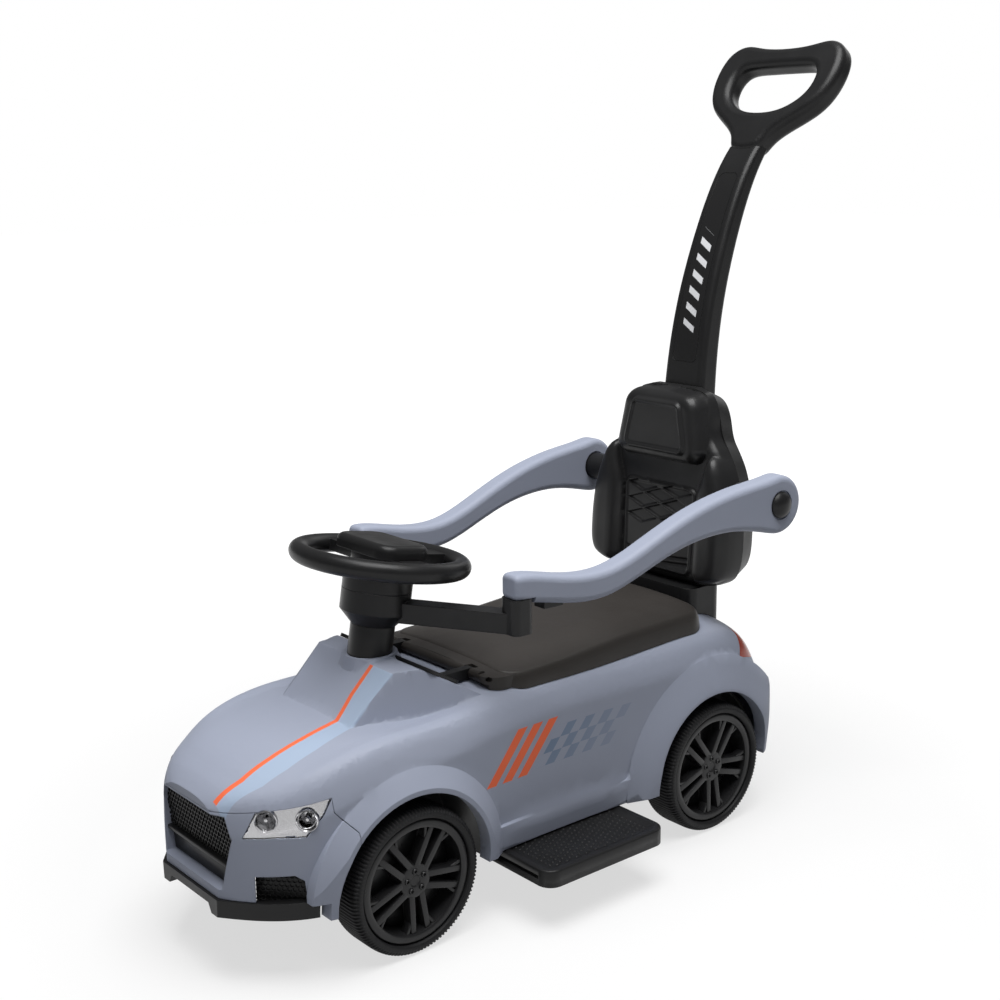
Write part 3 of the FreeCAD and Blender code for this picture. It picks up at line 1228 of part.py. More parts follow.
def guard_yoke():
    """Collar on the column with two swept arms and the guards' front posts."""
    top, low = on_column(size.collar_top), on_column(size.collar_low)
    collar = rod(low, top, size.collar_radius)
    taper = Part.makeCone(float(size.sleeve_radius), float(size.collar_radius), float(size.collar_taper),
                          on_column(size.collar_low + size.collar_taper), column_axis)
    middle_z = size.yoke_low_z + size.yoke_high / 2
    root_y = ZERO + on_column((size.wheel_z - middle_z) / math.cos(tilt)).y
    half, reach, high = size.yoke_thick / 2, size.guard_front_x, vec(0, 0, size.yoke_high)
    plan = [(ZERO, root_y - half), (reach, size.post_y - half), (reach, size.post_y + half),
            (ZERO, root_y + half)]
    bar = prism([vec(x, y, size.yoke_low_z) for x, y in plan], high)
    x, wide, long = size.guard_x, size.guard_wide / 2, size.post_long / 2
    post = block(vec(x - wide, size.post_y - long, size.yoke_low_z),
                 vec(x + wide, size.post_y + long, size.post_top_z))
    upright = [edge for edge in post.Edges if abs(edge.tangentAt(edge.FirstParameter).z) > 0.9]
    peg, peg_top = size.peg_half, size.post_top_z + size.peg_high
    peg = block(vec(x - peg, size.post_y - peg, size.yoke_low_z), vec(x + peg, size.post_y + peg, peg_top))
    branch = bar.fuse([toed(rounded(post, upright, size.guard_round)), toed(peg)])
    pieces = [taper, branch, mirrored(branch)]
    bore = rod(on_column(size.collar_low + size.collar_taper + size.overrun), on_column(size.hub_top),
               size.rod_radius + gap)
    hub_room = rod(top, on_column(size.hub_top), size.collar_radius + gap)
    return feature(collar.fuse(pieces).cut([bore, hub_room]), "guard_yoke")


toe = math.degrees(math.atan2(float(size.guard_x - size.guard_front_x),
                              float(guard_pivot_y - size.guard_front_y)))


def toed(shape):
    """Turn a guard piece in towards the column about its pivot."""
    return turned_copy(shape, vec(size.guard_x, guard_pivot_y, size.guard_pivot_z), AXIS_Z, -toe)


def guard_profile():
    """Side outline of a guard arm: one smooth closed curve with a round rear boss."""
    start, run = size.guard_front_y, guard_pivot_y - size.guard_front_y
    rise = size.guard_pivot_z - size.guard_dip_z
    growth = size.guard_boss * 2 - size.guard_mid_high
    upper, lower = [], []
    for along, up, grow in GUARD_SHARES:
        y, z = start + run * along, size.guard_dip_z + rise * up
        half = (size.guard_mid_high + growth * grow) / 2
        upper.append(vec(0, y, z + half))
        lower.append(vec(0, y, z - half))
    pivot = vec(0, guard_pivot_y, size.guard_pivot_z)
    step = math.pi / 6
    reach = float(size.guard_boss) * 3 / (2 + math.cos(step))
    boss = []
    for number in range(4, -5, -1):
        turn = number * step
        boss.append(pivot + FreeCAD.Vector(0, math.cos(turn), math.sin(turn)) * reach)
    front = (upper[0] + lower[0]) / 2
    nose = []
    for share in (-GUARD_NOSE_SHARE, GUARD_NOSE_SHARE):
        nose.append(front + (upper[0] - front) * share - vec(0, size.guard_round * 3, 0))
    return smooth_face(upper + boss + lower[::-1] + nose)


def guard_arm_solid():
    """Arm with rounded edges and a square front end."""
    arm = guard_profile().extrude(vec(size.guard_wide, 0, 0))
    sides = [edge for edge in arm.Edges if edge.Length > float(size.guard_wide) * 2]
    arm = rounded(arm, sides, size.guard_round)
    front = size.guard_front_y
    arm = arm.cut(block(vec(-size.guard_wide, ZERO, ZERO), vec(size.guard_wide * 2, front, size.wheel_z * 2)))
    ends = [edge for edge in arm.Edges if edge.BoundBox.YMax < float(front + size.run_fit)]
    arm = rounded(arm, ends, size.guard_end_round)
    arm.translate(vec(size.guard_x - size.guard_wide / 2, 0, 0))
    return arm


def guards():
    """Swinging side guards, each with its pivot cap and latch button."""
    x, wide, long = size.guard_x, size.guard_wide, size.post_long / 2
    arm = guard_arm_solid()
    post_room = block(vec(x - wide, size.guard_front_y - size.post_long, size.yoke_low_z),
                      vec(x + wide, size.post_y + long + size.peg_play, size.post_top_z + size.guard_gap))
    play = size.peg_half + size.peg_play
    socket = block(vec(x - play, size.post_y - play, size.yoke_low_z),
                   vec(x + play, size.post_y + play, size.post_top_z + size.peg_high + size.peg_play))
    pivot = vec(x, guard_pivot_y, size.guard_pivot_z)
    bore = rod(pivot - vec(wide, 0, 0), pivot + vec(wide, 0, 0), size.pivot_radius + size.run_fit)
    plumb = Part.makeLine(vec(x, size.latch_y, ZERO), vec(x, size.latch_y, size.guard_pivot_z))
    under = plumb.common(arm).BoundBox.ZMin
    half_y, half_x, low_y = size.latch_long / 2, size.latch_wide / 2, size.latch_y - size.latch_long / 2
    latch_low = size.latch_proud * -1 + under
    latch_top = size.latch_deep + under
    latch = block(vec(x - half_x, low_y, latch_low), vec(x + half_x, size.latch_y + half_y, latch_top))
    room = block(vec(x - half_x - gap, low_y - gap, latch_low),
                 vec(x + half_x + gap, size.latch_y + half_y + gap, latch_top + size.latch_proud))
    arm = toed(arm.cut([post_room, socket, room]))
    seat_in, seat_out = vec(size.guard_spot - wide / 2, 0, 0), vec(wide / 2 - size.guard_spot, 0, 0)
    spots = [rod(pivot + seat_in, pivot - vec(wide, 0, 0), size.hub_stub_radius + size.guard_spot),
             rod(pivot + seat_out, pivot + vec(wide, 0, 0), size.knob_radius + size.guard_spot)]
    arm, latch = arm.cut(spots + [bore]), toed(latch)
    outside = pivot + seat_out + vec(gap, 0, 0)
    knob = rod(outside, outside + vec(size.knob_proud, 0, 0), size.knob_radius)
    crown = [edge for edge in knob.Edges if edge.CenterOfMass.x > outside.x + float(size.knob_proud / 2)]
    knob = rounded(knob, crown, size.knob_proud / 2)
    stub_start = size.back_half * BORE_SHARE + gap
    stub_end = x - wide / 2 + size.guard_spot - size.guard_gap
    stub = rod(vec(stub_start, guard_pivot_y, size.guard_pivot_z),
               vec(stub_end, guard_pivot_y, size.guard_pivot_z), size.hub_stub_radius)
    pin_start = vec(stub_end, guard_pivot_y, size.guard_pivot_z)
    stub = stub.fuse(rod(pin_start, pivot + seat_out, size.pivot_radius))
    for side, turn in (("left", lambda shape: shape), ("right", mirrored)):
        feature(turn(arm), f"guard_arm_{side}")
        feature(turn(knob), f"guard_knob_{side}")
        feature(turn(latch), f"guard_latch_{side}")
        feature(turn(stub), f"guard_hub_{side}")


def footrest(side, sign):
    """Slide-out tray: flat tread, rounded outer corners, hollow underneath."""
    label = f"footrest_{side}"
    body = new_body(label)
    front, rear = size.footrest_front_y, footrest_rear_y
    inner, outer_x, wall = size.footrest_inner_x * sign, size.footrest_outer_x * sign, size.footrest_wall
    grown = pad(body, sketch_on(body, "XY_Plane", [[
        (inner, front), (outer_x, front), (outer_x, rear), (inner, rear)]]), size.footrest_high)
    corners = edges_where(grown, lambda edge: abs(edge.tangentAt(edge.FirstParameter).z) > 0.9
                          and abs(edge.CenterOfMass.x) > float(size.footrest_inner_x) * 1.5)
    soft = dress(body, "PartDesign::Fillet", grown, corners, size.footrest_round)
    thick = wall + size.rail_ledge
    well = [(inner + wall * sign, front + thick), (outer_x - thick * sign, front + thick),
            (outer_x - thick * sign, rear - thick), (inner + wall * sign, rear - thick)]
    pocket(body, sketch_on(body, "XY_Plane", [well]), size.footrest_high - wall, backwards=True)
    grooves = []
    deep = size.rail_ledge + size.slide_gap
    for edge, turn in ((front, 1), (rear, -1)):
        low, high = groove_z - foot_low_z, groove_z - foot_low_z + size.rail_thick + size.slide_gap * 2
        mouth, floor = edge - size.overrun * turn, edge + deep * turn
        grooves.append([(mouth, low), (floor, low), (floor, high), (mouth, high)])
    cut = sketch_on(body, "YZ_Plane", grooves)
    cut.setExpression("AttachmentOffset.Base.z", (inner - size.overrun * sign).text)
    long = size.footrest_outer_x - size.footrest_inner_x - size.footrest_round + size.overrun
    pocket(body, cut, long, backwards=sign > 0)
    return keep(body, label, ZERO, ZERO, foot_low_z)


foot_low_z = size.floor_z - size.slide_gap - size.footrest_high


def floor_screws():
    """Screw heads that hold the floor, four pairs along the underside."""
    reach = size.floor_half * SCREW_SHARE
    heads = []
    for y in (size.splitter_rear_y + size.post_long, size.footrest_front_y - size.post_long / 2,
              footrest_rear_y + size.post_long / 2, size.wheelbase + size.front_well_radius):
        for x in (reach, -reach):
            heads.append(rod(vec(x, y, size.floor_z - size.screw_head), vec(x, y, size.floor_z),
                             size.screw_radius))
    return feature(Part.makeCompound(heads), "floor_screws")


for make in (
    body_shell, front_fascia, grille_insert, intake_inserts, front_splitter, head_lamps, tail_lamps,
    dash_panel, chassis_floor, storage_bin, seat_lid, seat_hinge_pins, backrest_plinth, backrest_front,
    backrest_rear, push_handle, handle_inlay, column_sleeve, steering_hub, steering_wheel, steering_pad,
    steering_rod, tie_rod, rear_axle, guard_yoke, guards, floor_screws,
):
    make()
for side, sign in (("left", 1), ("right", -1)):
    knuckle(side, sign)
    footrest(side, sign)
    for end, axle_y in (("front", ZERO), ("rear", size.wheelbase)):
        tyre(f"tyre_{end}_{side}", sign, axle_y)
        rim(f"rim_{end}_{side}", sign, axle_y)
doc.recompute()

for obj in doc.Objects:
    if "Invalid" in obj.State or "Error" in obj.State:
        raise RuntimeError(f"{obj.Label} did not build: {obj.State}")
for obj in subparts:
    if obj.Shape.isNull() or not obj.Shape.isValid() or not obj.Shape.Solids:
        raise RuntimeError(f"{obj.Label} has no valid solid")
os.makedirs("parts", exist_ok=True)
for obj in subparts:
    obj.Shape.exportStep(f"parts/{obj.Label}.step")
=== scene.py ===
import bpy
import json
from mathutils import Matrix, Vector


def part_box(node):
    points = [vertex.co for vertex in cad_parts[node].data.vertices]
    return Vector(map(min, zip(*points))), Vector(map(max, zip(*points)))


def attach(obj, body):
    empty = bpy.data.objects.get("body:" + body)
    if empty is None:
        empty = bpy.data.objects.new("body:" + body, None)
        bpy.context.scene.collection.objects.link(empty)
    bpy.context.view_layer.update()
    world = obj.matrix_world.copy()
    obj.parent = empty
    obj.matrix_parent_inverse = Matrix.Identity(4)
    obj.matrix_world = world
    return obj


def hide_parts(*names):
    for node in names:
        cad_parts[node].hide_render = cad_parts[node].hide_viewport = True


bl_info = {
    "name": "Push car with handle",
    "version": (1, 0, 0),
    "blender": (4, 5, 0),
    "location": "View3D > Sidebar > Push car",
    "description": "Dresses the packed push car with detailed mouldings and finishes",
    "category": "Object",
}

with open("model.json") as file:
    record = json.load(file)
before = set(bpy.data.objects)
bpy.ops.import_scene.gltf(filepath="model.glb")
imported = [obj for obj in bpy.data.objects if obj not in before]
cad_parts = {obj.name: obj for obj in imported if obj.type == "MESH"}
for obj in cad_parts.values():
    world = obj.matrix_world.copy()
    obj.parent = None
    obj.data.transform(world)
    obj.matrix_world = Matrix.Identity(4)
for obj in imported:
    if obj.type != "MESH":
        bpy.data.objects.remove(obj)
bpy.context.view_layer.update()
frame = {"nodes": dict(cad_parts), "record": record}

import json
import math

import bmesh
import bpy
from bpy.props import FloatProperty, FloatVectorProperty, IntProperty, PointerProperty
from mathutils import Matrix, Vector
from mathutils.bvhtree import BVHTree
from mathutils.geometry import convex_hull_2d

NODES = frame["nodes"]
SIDES = (("left", 1), ("right", -1))
ENDS = ("front", "rear")


def colour_prop(name, description, default):
    return FloatVectorProperty(name=name, description=description, default=default,
                               subtype="COLOR", size=3, min=0, max=1)


def length_prop(name, description, default):
    return FloatProperty(name=name, description=description, default=default, unit="LENGTH", min=0)


class CarFinish(bpy.types.PropertyGroup):
    """Colours of the car's mouldings"""
    body: colour_prop("Body", "Matt grey-blue of the body mouldings", (0.335, 0.365, 0.455))
    black: colour_prop("Black", "Satin black mouldings", (0.013, 0.013, 0.0135))
    seat: colour_prop("Seat", "Brownish black of the seat", (0.040, 0.036, 0.033))
    tyre: colour_prop("Tyre", "Tyre black", (0.014, 0.014, 0.015))
    rim: colour_prop("Rim", "Dark rim moulding", (0.016, 0.016, 0.017))
    orange: colour_prop("Orange", "Orange trim stripe", (0.91, 0.17, 0.07))
    sky: colour_prop("Sky blue", "Pale blue trim band", (0.40, 0.52, 0.68))
    deep: colour_prop("Deep blue", "Dusk blue trim checks", (0.15, 0.22, 0.33))
    red: colour_prop("Lamp red", "Tail lamp lens", (0.36, 0.05, 0.025))


class CarSizes(bpy.types.PropertyGroup):
    """Sizes of the moulded detail"""
    rib_count: IntProperty(name="Tread ribs", description="Ribs round one tyre", default=116, min=12)
    rib_depth: length_prop("Rib depth", "Depth of the tread ribs", 0.0012)
    spoke_wide: length_prop("Spoke width", "Width of one bar of a twin spoke", 0.0068)
    spoke_deep: length_prop("Spoke depth", "Depth of one bar of a twin spoke", 0.012)
    stud_pitch: length_prop("Stud pitch", "Spacing of the footrest studs", 0.0066)
    stud_high: length_prop("Stud height", "Height of the footrest studs", 0.0009)
    cell_pitch: length_prop("Mesh pitch", "Spacing of the grille cells", 0.0052)
    cell_bar: length_prop("Mesh bar", "Width of the bars between grille cells", 0.0013)
    pocket_wide: length_prop("Quilt width", "Width of one quilted diamond", 0.056)
    pocket_high: length_prop("Quilt height", "Height of one quilted diamond", 0.019)
    pocket_deep: length_prop("Quilt depth", "Depth of one quilted diamond", 0.0028)
    seat_roll: length_prop("Seat roll", "Width of the seat's rolled edge outside its lid", 0.0065)
    seat_crown: length_prop("Seat crown", "Rise of the seat's middle over its lid", 0.0020)
    seat_rise: length_prop("Seat rise", "Rise of the seat's rear half over its front", 0.0075)


class Nodes:
    """A node tree under way."""

    def __init__(self, tree):
        self.tree = tree

    def add(self, kind, **settings):
        node = self.tree.nodes.new(kind)
        for key, value in settings.items():
            setattr(node, key, value)
        return node

    def link(self, start, end):
        self.tree.links.new(start, end)

    def feed(self, node, inputs):
        """Set or link inputs by name or number."""
        for key, value in inputs.items():
            if isinstance(value, bpy.types.NodeSocket):
                self.link(value, node.inputs[key])
            else:
                node.inputs[key].default_value = value
        return node

    def spread(self, value, low, high, start=0.0, end=1.0):
        node = self.add("ShaderNodeMapRange")
        return self.feed(node, {"Value": value, "From Min": start, "From Max": end, "To Min": low,
                                "To Max": high}).outputs["Result"]

    def maths(self, operation, first, second=0.0, clamp=False):
        node = self.add("ShaderNodeMath", operation=operation, use_clamp=clamp)
        return self.feed(node, {0: first, 1: second}).outputs[0]

    def within(self, value, low, high, soft=0.0003):
        """1 between low and high, with a soft edge."""
        rising = self.spread(self.maths("SUBTRACT", value, low), 0, 1, -soft, soft)
        falling = self.spread(self.maths("SUBTRACT", high, value), 0, 1, -soft, soft)
        return self.maths("MULTIPLY", rising, falling)

    def both(self, *masks):
        result = masks[0]
        for mask in masks[1:]:
            result = self.maths("MULTIPLY", result, mask)
        return result

    def curve(self, value, points, start, end, top):
        """A height by straight runs between (place, height) points."""
        node = self.add("ShaderNodeFloatCurve")
        line = node.mapping.curves[0]
        line.points[0].location = (0, points[0][1] / top)
        line.points[1].location = (1, points[-1][1] / top)
        for place, height in points[1:-1]:
            line.points.new((place - start) / (end - start), height / top)
        for point in line.points:
            point.handle_type = "VECTOR"
        node.mapping.update()
        self.feed(node, {"Value": self.spread(value, 0, 1, start, end)})
        return self.maths("MULTIPLY", node.outputs["Value"], top)

    def mix(self, share, first, second, blend="MIX"):
        node = self.add("ShaderNodeMix", data_type="RGBA", blend_type=blend)
        for key, value in ((6, first), (7, second)):
            value = value if isinstance(value, bpy.types.NodeSocket) else (*value[:3], 1.0)
            self.feed(node, {key: value})
        return self.feed(node, {0: share}).outputs[2]

    def bump(self, height, strength, distance, below=None):
        node = self.add("ShaderNodeBump")
        self.feed(node, {"Height": height, "Strength": strength, "Distance": distance})
        if below:
            self.link(below, node.inputs["Normal"])
        return node.outputs["Normal"]


class Shader(Nodes):
    """A material under way: its tree, its main shader and object coordinates."""

    def __init__(self, name, roughness, metallic=0.0, specular=0.5):
        self.material = bpy.data.materials.new(name)
        self.material.use_nodes = True
        super().__init__(self.material.node_tree)
        self.main = self.tree.nodes["Principled BSDF"]
        self.feed(self.main, {"Roughness": roughness, "Metallic": metallic, "Specular IOR Level": specular})
        self.place = self.add("ShaderNodeTexCoord").outputs["Object"]

    def noise(self, scale, detail=3.0):
        node = self.add("ShaderNodeTexNoise")
        self.feed(node, {"Vector": self.place, "Scale": scale, "Detail": detail, "Roughness": 0.55})
        return node.outputs["Fac"]

    def axes(self):
        parts = self.add("ShaderNodeSeparateXYZ")
        self.link(self.place, parts.inputs[0])
        return parts.outputs


def scaled(colour, factor):
    return tuple(channel * factor for channel in colour)


def moulded(name, colour, roughness, grain=900.0, depth=0.00006, tone=0.06, edge=0.0, specular=0.5):
    """Injection-moulded plastic: spark-eroded grain, tone drift, scuffs and softened edges."""
    skin = Shader(name, roughness, specular=specular)
    drift = skin.noise(7.0, 2.0)
    skin.base = skin.mix(drift, scaled(colour, 1 - tone), scaled(colour, 1 + tone))
    skin.link(skin.base, skin.main.inputs["Base Color"])
    cloud = skin.noise(34.0, 4.0)
    skin.link(skin.spread(cloud, roughness - 0.05, roughness + 0.07, 0.3, 0.7), skin.main.inputs["Roughness"])
    soft = None
    if edge:
        soft = skin.feed(skin.add("ShaderNodeBevel", samples=4), {"Radius": edge}).outputs["Normal"]
    skin.link(skin.bump(skin.noise(grain, 2.0), 0.35, depth, soft), skin.main.inputs["Normal"])
    return skin


STRIPE_LINE = ((-0.424, 0.0445), (-0.398, 0.0508), (-0.366, 0.0492), (-0.327, 0.0453), (-0.286, 0.0388),
               (-0.260, 0.0320), (-0.2335, 0.0302))
STRIPE_HALF = 0.0028
DECK_HEIGHTS = (0.165, 0.30)
DECAL_REACH = 0.1
FLANK_SPAN = (0.112, 0.1265)
DOOR_SLANT = 0.85
DOOR_LEVEL = 0.165
DOOR_BAR_HEIGHTS = (0.140, 0.192)
DOOR_BARS = ((-0.142, -0.129), (-0.121, -0.108), (-0.100, -0.087))
CHECK_CELL = 0.013
CHECK_HEIGHTS = (0.143, 0.182)
CHECK_SPAN = (-0.078, 0.026)
CHECK_FADE = (0.85, 0.3)
BAND_SHARE = 0.62
BAND_LINE = ((-0.424, 0.0585), (-0.389, 0.0734), (-0.363, 0.0760), (-0.330, 0.0727), (-0.2835, 0.0622),
             (-0.255, 0.0636), (-0.2335, 0.0662))


def body_finish(tone):
    """Matt body plastic with a bonnet stripe and band, and slanted bars and checks on both doors."""
    skin = moulded("body_grey", tone.body, 0.5, grain=1300.0, depth=0.00003, tone=0.03, edge=0.0012, specular=0.26)
    x, y, z = skin.axes()
    start, end = STRIPE_LINE[0][0], STRIPE_LINE[-1][0]
    stripe = skin.curve(y, STRIPE_LINE, start, end, DECAL_REACH)
    band = skin.curve(y, BAND_LINE, start, end, DECAL_REACH)
    upper = skin.both(skin.within(y, start, end), skin.within(z, *DECK_HEIGHTS))
    across = skin.maths("SUBTRACT", x, stripe)
    on_band = skin.both(upper, skin.within(across, 0, 1), skin.within(skin.maths("SUBTRACT", band, x), 0, 1))
    on_stripe = skin.both(upper, skin.within(across, -STRIPE_HALF, STRIPE_HALF))
    colour = skin.mix(skin.maths("MULTIPLY", on_band, BAND_SHARE), skin.base, tone.sky)
    colour = skin.mix(on_stripe, colour, tone.orange)
    flank = skin.within(skin.maths("ABSOLUTE", x), *FLANK_SPAN)
    slant = skin.maths("SUBTRACT", y, skin.maths("MULTIPLY", skin.maths("SUBTRACT", z, DOOR_LEVEL), DOOR_SLANT))
    bars = skin.within(slant, *DOOR_BARS[0])
    for run in DOOR_BARS[1:]:
        bars = skin.maths("MAXIMUM", bars, skin.within(slant, *run))
    colour = skin.mix(skin.both(flank, skin.within(z, *DOOR_BAR_HEIGHTS), bars), colour, tone.orange)
    even = skin.maths("ADD", skin.maths("FLOOR", skin.maths("DIVIDE", slant, CHECK_CELL)),
                      skin.maths("FLOOR", skin.maths("DIVIDE", z, CHECK_CELL)))
    checks = skin.maths("LESS_THAN", skin.maths("FLOORED_MODULO", even, 2.0), 0.5)
    field = skin.both(flank, skin.within(z, *CHECK_HEIGHTS), skin.within(slant, *CHECK_SPAN), checks)
    fade = skin.spread(slant, *CHECK_FADE, *CHECK_SPAN)
    colour = skin.mix(skin.maths("MULTIPLY", field, fade), colour, tone.deep)
    skin.link(colour, skin.main.inputs["Base Color"])
    return skin.material


INLAY_BAR_PITCH = 0.0185
INLAY_BAR_SLANT = 0.55
INLAY_BAR_SHARES = (0.16, 0.56)
INLAY_BAR_HEIGHTS = (0.5585, 0.6690)
INLAY_BAR_HALF = 0.0088


def inlay_finish(tone):
    """Glossy black strip with a row of pale slanted bars."""
    skin = moulded("inlay_black", tone.black, 0.14, depth=0.00001)
    x, y, z = skin.axes()
    slant = skin.maths("ADD", z, skin.maths("MULTIPLY", x, INLAY_BAR_SLANT))
    step = skin.maths("FRACT", skin.maths("DIVIDE", slant, INLAY_BAR_PITCH))
    bars = skin.both(skin.within(step, *INLAY_BAR_SHARES, 0.02), skin.within(slant, *INLAY_BAR_HEIGHTS),
                     skin.within(skin.maths("ABSOLUTE", x), -1, INLAY_BAR_HALF))
    skin.link(skin.mix(bars, skin.base, (0.72, 0.73, 0.75)), skin.main.inputs["Base Color"])
    return skin.material


def lens_finish():
    """Clear moulded lamp cover with faint flow marks."""
    skin = Shader("lamp_clear", 0.03)
    skin.main.inputs["Base Color"].default_value = (1, 1, 1, 1)
    skin.main.inputs["Transmission Weight"].default_value = 1.0
    skin.main.inputs["IOR"].default_value = 1.08
    skin.link(skin.bump(skin.noise(60.0, 2.0), 0.06, 0.0003), skin.main.inputs["Normal"])
    return skin.material


def chrome_finish():
    """Vacuum-metallised lamp dish with a slight orange-peel."""
    skin = Shader("lamp_chrome", 0.12, metallic=1.0)
    skin.link(skin.mix(skin.noise(25.0), (0.34, 0.34, 0.35), (0.48, 0.48, 0.49)), skin.main.inputs["Base Color"])
    skin.link(skin.bump(skin.noise(140.0, 2.0), 0.15, 0.0002), skin.main.inputs["Normal"])
    return skin.material


def finish(obj, material):
    obj.data.materials.clear()
    obj.data.materials.append(material)


def linked(name, data):
    obj = bpy.data.objects.new(name, data)
    bpy.context.scene.collection.objects.link(obj)
    return obj


def new_object(name, shape, sharp=38.0):
    """Turn a bmesh into a smooth-shaded object at the origin, creased past an angle."""
    mesh = bpy.data.meshes.new(name)
    shape.to_mesh(mesh)
    shape.free()
    mesh.shade_smooth()
    mesh.set_sharp_from_angle(angle=math.radians(sharp))
    return linked(name, mesh)


def dressed(obj, material, slot, body, *nodes):
    """Give a new piece its finish, its body and the nodes that it stands for."""
    finish(obj, bpy.data.materials[material])
    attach(obj, body)
    if nodes:
        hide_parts(*nodes)
    return obj


def joined(shape, *parts):
    for part in parts:
        mesh = bpy.data.meshes.new("part")
        part.to_mesh(mesh)
        part.free()
        shape.from_mesh(mesh)
        bpy.data.meshes.remove(mesh)
    return shape


def moved(part, matrix):
    bmesh.ops.transform(part, matrix=matrix, verts=part.verts)
    return part


def outward(part):
    bmesh.ops.recalc_face_normals(part, faces=part.faces)
    return part


def rounded(part, edges, radius, steps=2):
    bmesh.ops.bevel(part, geom=list(edges), offset=radius, offset_type="OFFSET", segments=steps,
                    profile=0.5, affect="EDGES", material=-1, clamp_overlap=True)
    return part


def lathe(profile, steps, closed=True):
    """Spin a profile of (along, radius) points about the X axis."""
    part = bmesh.new()
    points = [part.verts.new((along, 0, radius)) for along, radius in profile]
    followers = points[1:] + points[:1] if closed else points[1:]
    edges = [part.edges.new(pair) for pair in zip(points, followers)]
    bmesh.ops.spin(part, geom=points + edges, cent=(0, 0, 0), axis=(1, 0, 0), angle=2 * math.pi,
                   steps=steps, use_merge=True)
    bmesh.ops.remove_doubles(part, verts=part.verts, dist=1e-6)
    return outward(part)


def merged(name):
    """A merged copy of a CAD node's mesh."""
    part = bmesh.new()
    part.from_mesh(NODES[name].data)
    bmesh.ops.remove_doubles(part, verts=part.verts, dist=1e-6)
    return part


def cut(part, place, normal, clear=False):
    """Cut all of a shape along a plane, and clear the outer side if asked."""
    bmesh.ops.bisect_plane(part, geom=part.verts[:] + part.edges[:] + part.faces[:], dist=1e-6,
                           plane_co=place, plane_no=normal, clear_outer=clear)


def surface(name, turn):
    """Search tree of a node's mesh, seen through a turn."""
    mesh, back = NODES[name].data, turn.inverted()
    return BVHTree.FromPolygons([back @ vert.co for vert in mesh.vertices], [face.vertices for face in mesh.polygons])


def block(low, high):
    part = bmesh.new()
    bmesh.ops.create_cube(part, size=1)
    bmesh.ops.scale(part, vec=Vector(high) - Vector(low), verts=part.verts)
    bmesh.ops.translate(part, vec=(Vector(low) + Vector(high)) / 2, verts=part.verts)
    return part


def thickened(part, offset):
    """Extrude all faces of a sheet by an offset into a closed solid."""
    made = bmesh.ops.extrude_face_region(part, geom=part.faces[:], use_keep_orig=True)
    moving = [item for item in made["geom"] if isinstance(item, bmesh.types.BMVert)]
    bmesh.ops.translate(part, vec=offset, verts=moving)
    return outward(part)


def plate(outline, offset):
    """A flat face through a few points, extruded."""
    part = bmesh.new()
    part.faces.new([part.verts.new(point) for point in outline])
    return thickened(part, offset)


def smooth_step(value, low, high):
    share = min(max((value - low) / (high - low), 0.0), 1.0)
    return share * share * (3 - 2 * share)


def along(table, place):
    """A smooth height through (place, height) points."""
    last = len(table) - 2
    index = min(max(sum(1 for row in table[1:-1] if row[0] <= place), 0), last)
    before, start, end, after = (table[min(max(index + step, 0), last + 1)] for step in (-1, 0, 1, 2))
    span = end[0] - start[0]
    share = (place - start[0]) / span
    leave = (end[1] - before[1]) / (end[0] - before[0]) * span
    arrive = (after[1] - start[1]) / (after[0] - start[0]) * span
    square, cube = share * share, share * share * share
    return ((2 * cube - 3 * square + 1) * start[1] + (cube - 2 * square + share) * leave
            + (3 * square - 2 * cube) * end[1] + (cube - square) * arrive)


def round_inset(across, up, radius):
    """Distance inside a border with rounded corners, from the distances inside its sides."""
    if across < radius and up < radius:
        return radius - math.hypot(radius - across, radius - up)
    return min(across, up)


def rolled(*shares):
    """Quarter-round fall of an edge, from the shares of the roll inside each border."""
    gone = sum((1 - min(max(share, 0.0), 1.0)) ** 2 for share in shares)
    return math.sqrt(max(0.0, 1 - gone))


WHITE = (1, 1, 1, 1)
FLOOR_HALF = 14.0
FLOOR_TONE = (0.28, 0.28, 0.28, 1)
FLOOR_GLOW = (0.66, 1.0)
FLOOR_GLOW_RUN = (0.5, 1.6)
SKY_LIGHT = 0.16
LAMP_AIM_SIZE_POWER = {
    "over": ((0.42, -0.25, 2.5), (0, 0, 0.2), 1.7, 74),
    "front": ((1.9, -1.9, 1.7), (0, 0, 0.25), 1.5, 1.5),
    "rear": ((-0.6, 2.4, 1.7), (0, 0, 0.4), 1.6, 9),
}
CAMERA_PLACE = (1.209, -1.042, 0.759)
CAMERA_LENS = 54.02
CAMERA_SENSOR = 36.0
CAMERA_ANGLES = (50.34, 12.97, -0.66)


